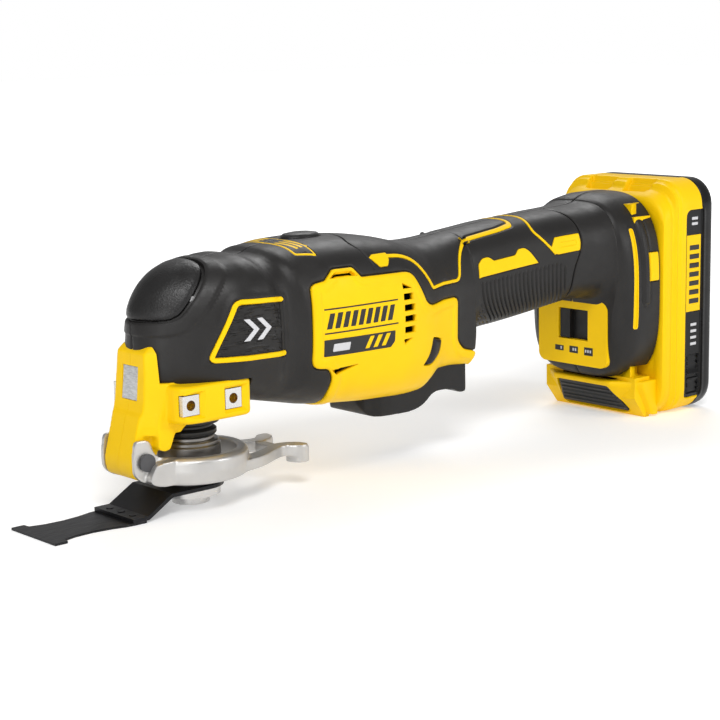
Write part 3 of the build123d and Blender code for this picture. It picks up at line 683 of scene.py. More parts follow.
def build_body():
    """Hard shell, soft skin, palm pad and print, all from one surface."""
    around = 150
    rings = loft(BODY, 1.45, around)
    first, last = rings[0].mean(0), rings[-1].mean(0)
    flange = [last + (rings[-1] - last) * (1, k, k) for k in (0.96, 0.9, 0.83, 0.76, 0.7)]
    rings = np.concatenate([[first + (rings[0] - first) * 0.02], rings, flange])
    skin = Skin(rings.reshape(-1, 3), triangles(len(rings), around))

    palm = area(PALM)
    panel = area(SIDE_PANEL)
    accents = union(stripe(ACCENT, 1.5), area(FLAG), stripe(REAR_ACCENT, 1.4), area(BLOCK), area(BADGE))
    label, stroke = area(HEAD_LABEL), stripe(LABEL_STROKE, 2.1)
    slit, ridge, tab = area(SLIT), area(RIDGE), area(TAB)
    openings = vents()
    lock = area(LOCK_SLOT)
    paddle_gap = area(PADDLE_GAP, plan, lambda p: (52.5 - p[:, 2]) / 2)
    window = area(WINDOW, front, lambda p: 3 - np.abs(p[:, 0] - FOOT_FRONT))
    neck = area(NECK)
    channel = both(lambda p: p[:, 0] - CHANNEL_FRONT, lambda p: CHANNEL_HALF - np.abs(p[:, 1]),
                   lambda p: CHANNEL_TOP - p[:, 2])  # fmt: skip

    def dome(points):
        middle, length, width = DOME
        flat = plan(points) - (middle, 0)
        return np.minimum(width * (1 - np.hypot(flat[:, 0] / length, flat[:, 1] / width)), upper(points))

    print_black = graphics()
    print_grey = chevrons(8.5, 73.6, 4.6, 4.4, 2, 6.2)
    ribs = area(GRIP_RIBS)
    plate_light = area(parallelogram(51.0, 59.5, 60.0, 63.2, 0.6, 0.3))
    top_label = area([(41.6, -2, 0), (41.6, 20.4, 1.2), (50.4, 24.4, 1.2), (50.4, -2, 0)], plan, upper)
    bars = [parallelogram(x, x + 1.3, 5.0, 17.5, 2.0) for x in (43.0, 45.3, 47.6)]
    top_bars = union(*[area(bar, plan, upper) for bar in bars])
    grip_seam, top_seam = stripe(GRIP_SEAM, 0.7), stripe(TOP_SEAM, 0.5, plan, upper)
    dent = area([(201.5, 88.2, 0.3), (212.0, 88.8, 0.3), (212.0, 91.0, 0.3), (202.0, 90.6, 0.3)])
    slashes = union(*[area(parallelogram(x, x + 2.4, 59.2, 64.2, 3.0)) for x in (68.0, 72.6, 77.2)])

    def parting(points):
        """The line between the two halves of the body, which the soft pads cover."""
        return np.minimum(0.25 - np.abs(points[:, 1]), -0.8 - np.maximum(palm(points), dome(points)))

    def sweep(points):
        """X with the ribs' sweep taken out, so that each rib has one value."""
        drop = np.maximum(80 - points[:, 2], 0)
        return points[:, 0] - RIB_SAG * drop**3

    skin.refine(0.5, print_black, print_grey, plate_light, slashes, accents, stroke, openings, lock, tab,
                slit, dent, top_label, top_bars, grip_seam, top_seam, reach=0.9)  # fmt: skip
    skin.refine(0.75, panel, label, ridge, paddle_gap, palm, dome, neck)
    skin.relief(stripe(WAIST, 1.0), (-7.5, 0), (-6, -0.25), (-4.5, -0.8), (-3, -1.4), (-1, -1.75),
                (0.5, -1.8))
    skin.relief(palm, (-6.5, 0), (-5.6, 0.55), (-1.6, 0.75), (-0.9, 0.4), (-0.7, -1.0), (0, -1.0),
                (0.3, 0.2), (1.2, 0.9), (3, 1.25), (7, 1.45))  # fmt: skip
    skin.relief(panel, (-1.0, 0), (-0.55, -0.25), (-0.3, -0.85), (0, -0.85), (0.3, 0.1), (0.9, 0.5),
                (1.6, 0.62), (3.4, 0.66), (4.4, 0.2), (5.0, 0.12))  # fmt: skip
    skin.relief(accents, (-0.5, 0), (-0.12, -0.3), (0, -0.3), (0.2, 0.05), (0.5, 0.1))
    skin.relief(stroke, (-0.6, 0), (-0.15, -0.35), (0, -0.35), (0.25, 0.1), (0.6, 0.15))
    skin.relief(label, (-2.4, 0), (-0.6, 0.35), (0.0, 0.35), (0.3, 0), (1.9, 0), (2.1, -0.5))
    skin.relief(slit, (-1.2, 0), (-0.4, 0.15), (0, 0.15), (0.15, 0.1), (0.4, 0.0), (0.6, -0.6), (1.0, -0.7))
    skin.relief(ridge, (-1.6, 0), (-0.8, -0.25), (0, 0.1), (0.9, 0.8), (2, 0.95))
    skin.relief(tab, (-0.6, 0), (-0.15, -0.4), (0, -0.4), (0.25, 0.25), (0.7, 0.35))
    skin.relief(grip_seam, (-0.7, 0), (-0.1, -0.2), (0.05, -0.75), (0.34, -0.8))
    skin.relief(top_seam, (-0.4, 0), (0.0, -0.55), (0.24, -0.6))
    skin.relief(parting, (-0.25, 0), (0.24, -0.4))
    skin.relief(dome, (-0.5, 0), (-0.1, -0.35), (0, -0.35), (0.3, 0.7), (1.1, 1.45), (3.2, 1.9))
    skin.relief(top_label, (-0.4, 0), (0, -0.2), (0.2, 0.0))
    skin.relief(dent, (-0.1, 0), (0.15, -0.4))
    starts = [RIB_START + RIB_PITCH * k for k in range(22)]
    levels = [x + e for x in starts for e in (-RIB_GROOVE, 0, RIB_GROOVE)]
    skin.cut(sweep, *levels, where=lambda p: ribs(p) + 1.5)
    heights = [LINE_START + LINE_PITCH * k for k in range(12)]
    skin.cut(lambda p: p[:, 2], *[z + e for z in heights for e in (-0.3, 0.3)],
             where=lambda p: label(p) + 0.5)
    skin.cut(ribs, 0.0)
    for field in (openings, lock, paddle_gap, window, print_black, print_grey, plate_light, slashes,
                  neck, channel, top_bars):  # fmt: skip
        skin.cut(field, 0.0)
    skin.cut(lock, 0.35, 1.0, 2.0)
    skin.cut(top_label, 0.9)

    def rib_lift(points):
        phase = (sweep(points) - RIB_START) / RIB_PITCH
        groove = 1 - np.minimum(np.abs(phase - np.round(phase)) * RIB_PITCH / RIB_GROOVE, 1)
        return -RIB_GROOVE * groove * smooth(ribs(points) / 1.5)

    def label_lift(points):
        phase = (points[:, 2] - LINE_START) / LINE_PITCH
        low = np.abs(phase - np.round(phase)) * LINE_PITCH < 0.35
        return -0.4 * low * smooth((label(points) - 2.2) / 0.5) * smooth(-print_grey(points) / 0.4)

    lift = rib_lift(skin.points) + label_lift(skin.points)
    shape = skin.raised() + skin.normals * lift[:, None]

    at = skin.middles()
    left = at[:, 1] < 0
    hole = np.max([f(at) for f in (openings, paddle_gap, window, lock, neck, channel)], 0) > 0
    is_palm = (palm(at) > 0) & ~hole
    is_dome = dome(at) > 0
    black_print = (print_black(at) > 0) & (slashes(at) < 0) & ~hole & ~is_palm
    light = (plate_light(at) > 0) & ~hole
    grey_print = (print_grey(at) > 0) & (label(at) > 0)
    yellow = (panel(at) > 0) | (accents(at) > 0) | (stroke(at) > 0) | (slit(at) > 0) | (tab(at) > 0)
    yellow |= ((top_label(at) > 0) & (top_label(at) < 0.9)) | (top_bars(at) > 0)
    yellow &= ~(hole | is_palm | is_dome | black_print | grey_print | light)
    black = ~(hole | is_palm | is_dome | black_print | grey_print | yellow | light)
    for half, name in ((left, "left"), (~left, "right")):
        patch(f"hard_shell_{name}", skin, shape, yellow & half, "tool_body", "yellow_shell", 2.2,
              replaces=[f"housing_{name}"])  # fmt: skip
        patch(f"soft_skin_{name}", skin, shape, black & half, "tool_body", "black_overmold", 2.0,
              replaces=[f"overmold_{name}"])  # fmt: skip
        patch(f"panel_print_{name}", skin, shape + skin.normals * 0.03, black_print & ~light & half,
              "tool_body",
              "black_overmold", 0.4, PRINT_BLACK)  # fmt: skip
        patch(f"emblem_{name}", skin, shape + skin.normals * 0.25, (grey_print | light) & half, "tool_body",
              "yellow_shell", 0.8, PRINT_GREY)  # fmt: skip
    patch("palm_cover", skin, shape, is_palm, "tool_body", "palm_rubber", 2.2, replaces=["palm_pad"])
    patch("top_pad", skin, shape, is_dome, "tool_body", "palm_rubber", 2.2, replaces=["top_badge"])
    lock_button(skin, shape, lock)


def lock_button(skin, shape, lock):
    """The two ends of the lock button, crowned caps in their curved slots."""
    faces = skin.faces[lock(skin.middles()) > 0.35]
    used, index = np.unique(faces, return_inverse=True)
    height = np.interp(lock(shape[used]), (0.35, 0.5, 1.0, 2.0, 3.4), (-1.2, -0.3, 0.35, 0.8, 1.0))
    points = shape[used] + skin.normals[used] * height[:, None]
    caps = piece("lock_caps", points, index.reshape(-1, 3), "lock_button", "trigger_plastic",
                 replaces=["lock_button"], sharp=45)  # fmt: skip
    thicken(caps, 4.0)


# ---- solid forms, for booleans and remeshing ----
def solid(points, faces):
    """A scratch object in millimetres, not in the scene's list of pieces."""
    mesh = bpy.data.meshes.new("form")
    mesh.from_pydata(np.asarray(points, float).tolist(), [], [list(map(int, f)) for f in faces])
    thing = bpy.data.objects.new("form", mesh)
    bpy.context.scene.collection.objects.link(thing)
    return thing


def facing_out(thing):
    """A closed form with all its faces turned outwards."""
    grid = bmesh.new()
    grid.from_mesh(thing.data)
    bmesh.ops.recalc_face_normals(grid, faces=grid.faces)
    grid.to_mesh(thing.data)
    grid.free()
    return thing


def between(outlines):
    """A closed form through outlines with the same number of points, which are all (x, y, z)."""
    n = len(outlines[0])
    points = [p for outline in outlines for p in outline]
    last = len(points) - n
    faces = [list(range(n))[::-1], list(range(last, last + n))]
    for k in range(0, last, n):
        faces += [[k + i, k + (i + 1) % n, k + n + (i + 1) % n, k + n + i] for i in range(n)]
    return facing_out(solid(points, faces))


def prism(outline, a, b, axis=1):
    """An outline carried from a to b. The outline's two numbers are the other two axes, in order."""
    outline = np.asarray(outline, float)[:, :2]
    return between([np.insert(outline, axis, level, axis=1) for level in (a, b)])


def boxed(x0, x1, y0, y1, z0, z1):
    return prism([(x0, z0), (x1, z0), (x1, z1), (x0, z1)], y0, y1)


def stacked(sections):
    """A form through outlines of the same number of points, each (height, outline) along Z."""
    return between([[(u, v, z) for u, v in outline] for z, outline in sections])


def turned(profile, steps=96, closed=True):
    """A profile of (radius, height) turned round the spindle's axis."""
    n = len(profile)
    points, faces = [], []
    for k in range(steps):
        a = 2 * pi * k / steps
        points += [(r * cos(a), r * sin(a), z) for r, z in profile]
    for k in range(steps):
        for i in range(n if closed else n - 1):
            j, nxt = (i + 1) % n, (k + 1) % steps
            faces.append((k * n + i, nxt * n + i, nxt * n + j, k * n + j))
    return np.array(points), faces


def evaluated(thing):
    """The mesh of an object with its modifiers, and the object removed."""
    shape = bpy.data.meshes.new_from_object(thing.evaluated_get(bpy.context.evaluated_depsgraph_get()))
    bpy.data.objects.remove(thing)
    return shape


def merged(forms, voxel, smoothing):
    """One skin round overlapping forms, with its edges softened."""
    base = forms[0]
    with bpy.context.temp_override(active_object=base, selected_editable_objects=forms, object=base,
                                   selected_objects=forms):  # fmt: skip
        bpy.ops.object.join()
    remesh = base.modifiers.new("skin", "REMESH")
    remesh.mode = "VOXEL"
    remesh.voxel_size = voxel
    soften = base.modifiers.new("soften", "SMOOTH")
    soften.factor = 0.5
    soften.iterations = smoothing
    return base


def carve(base, cutters):
    """Takes cutters away from a form."""
    for cutter in cutters:
        away = base.modifiers.new("away", "BOOLEAN")
        away.operation = "DIFFERENCE"
        away.solver = "EXACT"
        away.object = cutter
    mesh = evaluated(base)
    for cutter in cutters:
        bpy.data.objects.remove(cutter)
    return mesh


def to_frame(mesh):
    """A mesh in millimetres, moved into the frame."""
    mesh.transform(Matrix.Translation((SPINDLE_X, 0, 0)) @ Matrix.Scale(0.001, 4))
    return mesh


def trim(grid, point, normal):
    """Takes away what lies behind a plane and closes the cut."""
    everything = grid.verts[:] + grid.edges[:] + grid.faces[:]
    cut = bmesh.ops.bisect_plane(grid, geom=everything, plane_co=point, plane_no=normal, clear_inner=True)
    rim = [e for e in cut["geom_cut"] if isinstance(e, bmesh.types.BMEdge)]
    bmesh.ops.holes_fill(grid, edges=rim)


def new_mesh(name, grid):
    """A mesh made from a grid, which is then freed."""
    mesh = bpy.data.meshes.new(name)
    grid.to_mesh(mesh)
    grid.free()
    return mesh


def half_of(mesh, sign, inset=0.06):
    """The half of a mesh on one side of the parting plane, capped."""
    grid = bmesh.new()
    grid.from_mesh(mesh)
    trim(grid, (0, sign * inset, 0), (0, sign, 0))
    return new_mesh("half", grid)


# ---- nose guard ----
def leg_section(front_x, back_x, half, bevel):
    """The leg's outline seen from above: a flat face, two chamfers and two sides."""
    return [(back_x, -half), (front_x + 1.25 * bevel, -half), (front_x, -half + bevel),
            (front_x, half - bevel), (front_x + 1.25 * bevel, half), (back_x, half)]  # fmt: skip


def nose_guard():
    """Collar under the head and leg in front of the spindle, moulded in two halves."""
    rear, half = COLLAR_REAR, COLLAR_HALF
    collar = softened([(-21, -half, 9), (rear, -half, 2), (rear, half, 2), (-21, half, 9)])
    inset = softened([(-20, 1 - half, 9), (rear - 1, 1 - half, 2), (rear - 1, half - 1, 2),
                      (-20, half - 1, 9)])
    forms = [stacked([(38.6, inset), (39.8, collar), (53.2, collar), (53.9, inset)])]
    forms.append(stacked([
        (33.9, leg_section(-30.6, -13.5, 13.9, 4.6)), (38.0, leg_section(-30.4, -10, 14.8, 4.8)),
        (47.0, leg_section(-28.4, -10, 15.2, 5.0)), (58.0, leg_section(-27.4, -10, 14.8, 5.0)),
        (66.4, leg_section(-26.9, -10, 13.9, 4.8)), (69.0, leg_section(-23.8, -10, 12.8, 4.0)),
    ]))  # fmt: skip
    tongue = softened([(-30.2, 42, 0), (-35.3, 23, 4), (-33.8, 16.6, 3), (-27.0, 15.8, 3),
                       (-21.6, 27.5, 2), (-15, 42, 0)])
    forms.append(prism(tongue, -9.6, 9.6))
    for s in (-1, 1):
        flange = softened([(-25.0, 42, 0), (-25.0, 28.8, 1), (-22.6, 27.4, 1), (-19.4, 27.6, 1),
                           (-13.5, 42, 0)])
        forms.append(prism(flange, *sorted((s * 9.2, s * 14.6))))
    cutters = [boxed(-40, -22.5, -5.3, 5.3, 47.3, 61.0), boxed(-23, -14, -20, 20, 54.6, 80)]
    cutters.append(facing_out(solid(*capped_turn([(16.1, 30), (16.1, 60)]))))
    middle_x, middle_z = (NUTS_LOW.x + NUTS_HIGH.x) / 2, (NUTS_LOW.z + NUTS_HIGH.z) / 2
    spacing = NUTS_HIGH.x - NUTS_LOW.x - (NUTS_HIGH.z - NUTS_LOW.z)
    for s in (-1, 1):
        for x in (middle_x - spacing / 2, middle_x + spacing / 2):
            depths = [(19.3, 4.2), (NUTS_HIGH.y - 0.2, 4.3), (COLLAR_HALF + 1.5, 6.6)]
            cutters.append(flared_pocket(x, middle_z, s, depths))
            turns = np.linspace(0, 2 * pi, 24, endpoint=False)
            socket = [(x + 2.4 * cos(a), middle_z + 2.4 * sin(a)) for a in turns]
            cutters.append(prism(socket, *sorted((s * 16.4, s * 20))))
    mesh = carve(merged(forms, 0.55, 5), cutters)
    for s, name in ((-1, "left"), (1, "right")):
        half = to_frame(half_of(mesh, s))
        finished(f"guard_{name}", half, "tool_body", "yellow_shell", None, [f"nose_guard_{name}"], 30)
    bpy.data.meshes.remove(mesh)


def capped_turn(profile, steps=64):
    """An upright cylinder-like form with closed ends, from (radius, height) pairs."""
    points, faces = turned(profile, steps, closed=False)
    n = len(profile)
    faces.append([k * n for k in range(steps)][::-1])
    faces.append([k * n + n - 1 for k in range(steps)])
    return points, faces


def flared_pocket(x, z, s, depths):
    """A square pocket in the side of the collar that widens towards its mouth, more to the rear."""
    outlines = []
    for y, half in depths:
        ahead, rear = x - half * 0.98, x + half + (half - depths[0][1]) * 0.6
        outlines.append([(ahead, s * y, z - half), (rear, s * y, z - half), (rear, s * y, z + half),
                         (ahead, s * y, z + half)])  # fmt: skip
    return between(outlines)


# ---- quick-change lever ----
def lever():
    """Cast ring with two lugs on the pivot and a tail that forks into two lobes."""
    wall = [(19.4, 13.6), (19.4, 23.2), (20.0, 23.8), (22.6, 23.8), (24.3, 22.4), (24.6, 18),
            (24.1, 13.6), (22.8, 12.7), (20.2, 12.7)]  # fmt: skip
    forms = [facing_out(solid(*turned(wall, 120)))]
    for s in (-1, 1):
        lug = softened([(-35.4, 26, 3), (-34.2, 33, 2), (-27.2, 32.6, 3), (-25.0, 25, 4), (-16, 23.8, 0),
                        (-16, 13.2, 0), (-30, 15.0, 4), (-35.2, 18.6, 4)])  # fmt: skip
        forms.append(prism(lug, *sorted((s * 9.9, s * 11.7))))
        cheek = softened([(-31, 16.2, 3), (-27.0, 22.8, 2), (-15, 23.6, 0), (-15, 12.9, 0), (-26, 13.6, 3)])
        forms.append(prism(cheek, *sorted((s * 10.2, s * 15.6))))
        arm = softened([(13, s * 20.6, 0), (24, s * 18.6, 5), (35, s * 12.8, 6), (42.0, s * 9.8, 4),
                        (46.5, s * 15.0, 3), (52.0, s * 15.0, 2.4), (51.4, s * 9.0, 3),
                        (46.0, s * 4.6, 3), (40, s * 3.8, 4), (30, s * 8.6, 4), (20, s * 12.0, 3),
                        (13, s * 14.0, 0)])  # fmt: skip
        forms.append(prism(arm, 13.8, 18.6, axis=2))
        lobe = softened([(43.5, s * 8.4, 3), (46.5, s * 15.2, 3), (52.4, s * 15.2, 2.4),
                         (51.4, s * 8.4, 3), (47, s * 6.0, 2)])
        forms.append(prism(lobe, 10.8, 17.6, axis=2))
    bridge = softened([(38, -6, 2), (43, -6, 2), (43, 6, 2), (38, 6, 2)])
    forms.append(prism(bridge, 14.4, 18.0, axis=2))
    cutters = [boxed(-60, -16.4, -9.75, 9.75, 0, 60)]
    mesh = to_frame(carve(merged(forms, 0.5, 5), cutters))
    finished("clamp_lever_casting", mesh, "lever", "cast_silver", None, ["quick_change_lever"], 30)


# ---- turned parts of the clamp ----
def clamp_parts():
    """Bellows boot and stepped sleeve round the spindle."""
    boot = [(8.6, 29.2), (11.0, 29.2), (11.5, 29.8), (11.5, 31.4), (10.6, 32.1), (9.7, 32.5),
            (9.7, 33.3), (10.8, 33.8), (12.6, 34.4), (13.2, 35.2), (13.0, 36.6), (12.2, 37.3),
            (8.6, 37.3)]  # fmt: skip
    points, faces = turned(boot)
    piece("bellows", points, faces, "tool_body", "boot_rubber", None, ["dust_boot"], 50)
    sleeve = [(7.3, 14.2), (12.4, 14.2), (12.9, 14.8), (12.9, 25.2), (12.3, 25.8), (12.3, 26.8),
              (11.8, 27.3), (10.6, 27.4), (10.4, 27.6), (10.4, 28.6), (10.0, 29.0), (7.3, 29.0)]  # fmt: skip
    points, faces = turned(sleeve, 128)
    piece("stepped_sleeve", points, faces, "tool_body", "brushed_steel", None, ["clamp_sleeve"], 28)


# ---- battery pack ----
def rounded_ring(x, half, low, high, corner, steps=12, around=156):
    """Points round a rectangle with quarter-circle corners, from the middle of its bottom."""
    points = []
    centres = ((half - corner, low + corner, -pi / 2), (half - corner, high - corner, 0),
               (-half + corner, high - corner, pi / 2), (-half + corner, low + corner, pi))  # fmt: skip
    for y, z, start in centres:
        for k in range(steps):
            a = start + pi / 2 * k / (steps - 1)
            points.append((y + corner * cos(a), z + corner * sin(a)))
    loop = np.array([(0, low)] + points + [(0, low)])
    run = np.r_[0, np.cumsum(np.hypot(*np.diff(loop, axis=0).T))]
    at = np.linspace(0, run[-1], around + 1)[:-1]
    return np.stack([np.full(around, x), np.interp(at, run, loop[:, 0]), np.interp(at, run, loop[:, 1])], 1)


PACK = [  # x, half width, bottom, top, corner radius
    (262.0, 0.05, 49.9, 50.1, 0.02),
    (262.0, 14.0, 20.0, 80.0, 5.0),
    (261.0, 29.0, 6.0, 100.0, 8.0),
    (260.3, 31.5, 4.0, 103.0, 10.0),
    (260.2, 34.4, 1.0, 106.2, 13.0),
    (261.0, 35.4, 0.2, 107.4, 14.0),
    (266.0, 35.6, 0.0, 110.4, 14.0),
    (268.0, 35.9, 0.0, 112.0, 13.5),
    (269.2, 36.7, 0.0, 114.0, 12.5),
    (272.0, 37.0, 0.0, 115.4, 12.0),
    (284.0, 37.0, 0.0, 115.5, 13.0),
    (292.6, 37.0, 0.0, 115.5, 13.0),
    (295.2, 36.7, 0.3, 115.2, 13.0),
    (296.5, 35.6, 1.4, 114.1, 12.0),
    (297.0, 33.5, 3.5, 112.0, 10.0),
    (297.0, 14.0, 30.0, 86.0, 5.0),
    (297.0, 0.05, 57.9, 58.1, 0.02),
]


def build_pack():
    """Yellow and black cases of the pack with their side windows, ribs and print."""
    keys = np.array(PACK, float)
    moves = np.abs(np.diff(keys, axis=0)).max(1)
    t = np.r_[0, np.cumsum(moves)]
    at = np.linspace(0, t[-1], int(t[-1] / 1.3))
    rows = np.stack([np.interp(at, t, keys[:, k]) for k in range(5)], 1)
    rings = np.array([rounded_ring(*row) for row in rows])
    skin = Skin(rings.reshape(-1, 3), triangles(*rings.shape[:2]))
    label = area([(275.2, 7.0, 4), (288.4, 7.0, 1), (288.4, 100.6, 1), (275.2, 100.6, 4)])
    strip = area(slot_outline(276.4, 287.4, 50.4, 88.2))
    grip = area(slot_outline(277.6, 287.4, 9.0, 28.6, 1))
    bars = union(*[area(parallelogram(278.6, 286.0, 54.4 + 4.4 * k, 56.8 + 4.4 * k, 0)) for k in range(7)])
    marks = union(*[area(slot_outline(280.2, 284.8, z, z + 1.4)) for z in (33.4, 36.6, 39.8, 43.0, 93.0,
                                                                           95.6)])
    pockets = area([(264.6, 4.6, 1.5), (274.0, 3.4, 1.5), (274.0, 22.0, 2), (264.8, 19.4, 2)], plan, upper)
    top_strip = area([(284.6, -1, 0), (290.5, -1, 0), (290.5, 24.0, 1), (284.6, 24.0, 1)], plan, upper)

    def rear(points):
        return points[:, 0] - 287.6

    def ridge(points):
        return 1.6 - np.abs(points[:, 0] - 268.6)

    skin.refine(0.5, bars, marks, strip, grip, top_strip, rear, reach=0.9)
    skin.refine(0.75, label, pockets, ridge)
    skin.relief(label, (-1.6, 0), (-0.8, 0.25), (-0.2, 0.2), (0, -0.5), (0.4, -0.65))
    skin.relief(strip, (0, 0), (0.2, 0.12))
    skin.relief(grip, (-0.3, 0), (0.2, -0.9))
    skin.relief(rear, (-0.5, 0), (-0.1, -0.45), (0.1, -0.45), (0.5, 0))
    skin.relief(ridge, (-1.4, 0), (-0.5, -0.5), (0.5, -0.5), (1.5, 0.25))
    skin.relief(pockets, (-0.6, 0), (0, -0.3), (0.5, -2.6), (0.9, -2.9))
    for k in range(7):
        z = 10.4 + 2.7 * k
        skin.relief(area(slot_outline(277.9, 287.0, z, z + 1.2, 0.3)), (-0.2, 0), (0.2, 0.9))
    for field in (bars, marks, top_strip):
        skin.cut(field, 0.0)
    shape = skin.raised()
    at = skin.middles()
    printed = bars(at) > 0
    grey = (marks(at) > 0) & (label(at) > 0)
    back = (rear(at) > 0) | (top_strip(at) > 0) | ((label(at) > 0) & (strip(at) < 0))
    back &= ~(printed | grey)
    patch("pack_case_front", skin, shape, ~(back | printed | grey), "battery_pack", "yellow_shell", 2.2,
          replaces=["battery_upper_case"])  # fmt: skip
    patch("pack_case_rear", skin, shape, back, "battery_pack", "black_case", 2.2,
          replaces=["battery_lower_case"])  # fmt: skip
    on_top = shape + skin.normals * 0.03
    patch("pack_print", skin, on_top, printed, "battery_pack", "black_case", 0.4, PRINT_BLACK)
    patch("pack_marks", skin, on_top, grey, "battery_pack", "black_case", 0.4, PRINT_GREY)
    rails_and_toe()


def cad_slice(node, low, high):
    """A copy of a CAD node between two planes across X, in millimetres, capped."""
    grid = bmesh.new()
    grid.from_mesh(NODES[node].data)
    bmesh.ops.remove_doubles(grid, verts=grid.verts, dist=1e-6)
    for x, sign in ((low, 1), (high, -1)):
        trim(grid, (x / 1000 + SPINDLE_X, 0, 0), (sign, 0, 0))
    return new_mesh(node, grid)


def rails_and_toe():
    """The rails that hang in the foot, and the toe under it with its sloping face."""
    rails = cad_slice("battery_upper_case", 247.0, 258.0)
    finished("pack_rails", rails, "battery_pack", "yellow_shell", None, (), 30)
    toe = softened([(262, 18.6, 0), (240.6, 18.6, 0.8), (240.4, 16.6, 1), (252.6, 0.2, 3), (262, 0.2, 0)])
    flank = softened([(262, 18.6, 0), (250.4, 18.6, 1), (250.6, 15.4, 2), (258.0, 0.9, 3), (262, 0.9, 0)])
    outlines = []
    for y in (-31.5, -28.5, -24.5, -18.0, 18.0, 24.5, 28.5, 31.5):
        t = (abs(y) - 18.0) / 13.5
        outlines.append([(x, y, z) for x, z in toe * (1 - t) + flank * t])
    form = between(outlines)
    mesh = to_frame(carve(merged([form], 0.6, 4), [latch_shape(0.55, -6.0, 9.0)]))
    finished("pack_toe", mesh, "battery_pack", "yellow_shell", None, (), 30)
    latch()


LATCH_AT = (246.6, 8.6)  # middle of the toe's sloping face
LATCH_DIR = Vector((0.79, 0, 0.613)).normalized()


def on_slope(u, v, depth):
    """A point on the toe's face: u across, v up the slope, depth into the pack."""
    up = Vector((-LATCH_DIR.z, 0, LATCH_DIR.x))
    return tuple(Vector((LATCH_AT[0], u, LATCH_AT[1])) + up * v + LATCH_DIR * depth)


def latch_shape(margin, near, deep):
    """The button's outline, a wide trapezoid, as a solid through the slope."""
    outline = softened([(-16.0 - margin, 8.6 + margin, 1.5), (16.0 + margin, 8.6 + margin, 1.5),
                        (22.0 + margin, -8.4 - margin, 2), (-22.0 - margin, -8.4 - margin, 2)])  # fmt: skip
    return between([[on_slope(u, v, depth) for u, v in outline] for depth in (near, deep)])


def latch():
    """Release button with five ribs across its face."""
    forms = [latch_shape(0.0, 0.5, 4.5)]
    for k in range(5):
        v = -5.4 + 2.8 * k
        half = 19.6 - 1.0 * k
        bar = ((-half, v - 0.45), (half, v - 0.45), (half, v + 0.45), (-half, v + 0.45))
        forms.append(between([[on_slope(u, w, depth) for u, w in bar] for depth in (-0.3, 1.2)]))
    mesh = to_frame(evaluated(merged(forms, 0.4, 2)))
    finished("release_button", mesh, "battery_release", "latch_plastic", None, ["battery_release"], 30)


# ---- small parts ----
def trigger_paddle():
    """Hanging paddle with a rounded nose, a finger rest in its underside and a lip at its tail."""
    rear = PADDLE_REAR
    side_line = softened([(83.9, 46, 0), (83.9, 30.6, 4), (87.0, 24.2, 4), (92.5, 23.6, 3), (110.6, 23.4, 7),
                          (117.6, 25.2, 5), (123.2, 30.0, 4), (129.6, 30.5, 3), (136.8, 29.4, 3),
                          (140.6, 27.4, 2), (rear, 27.7, 1.6), (rear + 0.2, 38, 0),
                          (rear + 0.2, 46, 0)])  # fmt: skip
    plan_line = softened([(83.9, -16.2, 13), (rear + 0.2, -16.2, 1.5), (rear + 0.2, 16.2, 1.5),
                          (83.9, 16.2, 13)])
    form, plan_form = prism(side_line, -17, 17), prism(plan_line, 20, 50, axis=2)
    shared = form.modifiers.new("shared", "BOOLEAN")
    shared.operation = "INTERSECT"
    shared.solver = "EXACT"
    shared.object = plan_form
    mesh = to_frame(evaluated(merged([form], 0.5, 8)))
    bpy.data.objects.remove(plan_form)
    finished("paddle", mesh, "trigger", "trigger_plastic", None, ["trigger_paddle"], 30)


RAIL_LOW, RAIL_REACH, RAIL_HIGH = 32.7, 27.5, 99.0  # the rail pieces end inside the foot's walls


def foot_rails():
    """The rear face of the foot with the two lips that hold the pack."""
    for name in ("left", "right"):
        mesh = cad_slice(f"housing_{name}", 247.2, FOOT_REAR - 0.15)
        co = np.zeros(len(mesh.vertices) * 3)
        mesh.vertices.foreach_get("co", co)
        low = (-1, -RAIL_REACH / 1000, RAIL_LOW / 1000)
        co = np.clip(co.reshape(-1, 3), low, (1, RAIL_REACH / 1000, RAIL_HIGH / 1000))
        mesh.vertices.foreach_set("co", co.ravel())
        finished(f"foot_rails_{name}", mesh, "tool_body", "yellow_shell", None, (), 30)


def speed_marks():
    """Three blocks under the slider, with three, two and one dots on them."""
    x, z = PANEL_LOW.x - 0.06, 33.2
    for k, (y, high) in enumerate(((-10.6, 2.0), (-1.0, 1.7), (8.4, 1.3))):
        outline = softened(slot_outline(y - 2.8, y + 2.8, z - high, z + high, 0.3))
        mesh = to_frame(evaluated(prism(outline, x, x + 0.5, axis=0)))
        finished(f"speed_mark_{k + 1}", mesh, "tool_body", "black_overmold", PRINT_BLACK)
        for n in range(3 - k):
            start = y - 1.7 + 1.5 * n
            dot = softened(slot_outline(start, start + 0.9, 32.6, 34.0, 0.1))
            mesh = to_frame(evaluated(prism(dot, x - 0.04, x + 0.3, axis=0)))
            finished(f"speed_dot_{k + 1}_{n + 1}", mesh, "tool_body", "yellow_shell", PRINT_GREY)


def cad_pieces():
    """Materials and edge rounds for the CAD nodes that stay."""
    for name, thing in NODES.items():
        for place in thing.material_slots:
            place.material = MATERIALS[SLOT_OF[name]]
    rounds = {"speed_panel": 0.7, "speed_selector": 0.4, "cutting_blade": 0.12, "blade_carrier": 0.3,
              "clamp_flange": 0.4, "accessory_nuts": 0.35, "lever_pin": 0.4, "led_lens": 0.4}  # fmt: skip
    for name, width in rounds.items():
        round_edges(NODES[name], width)


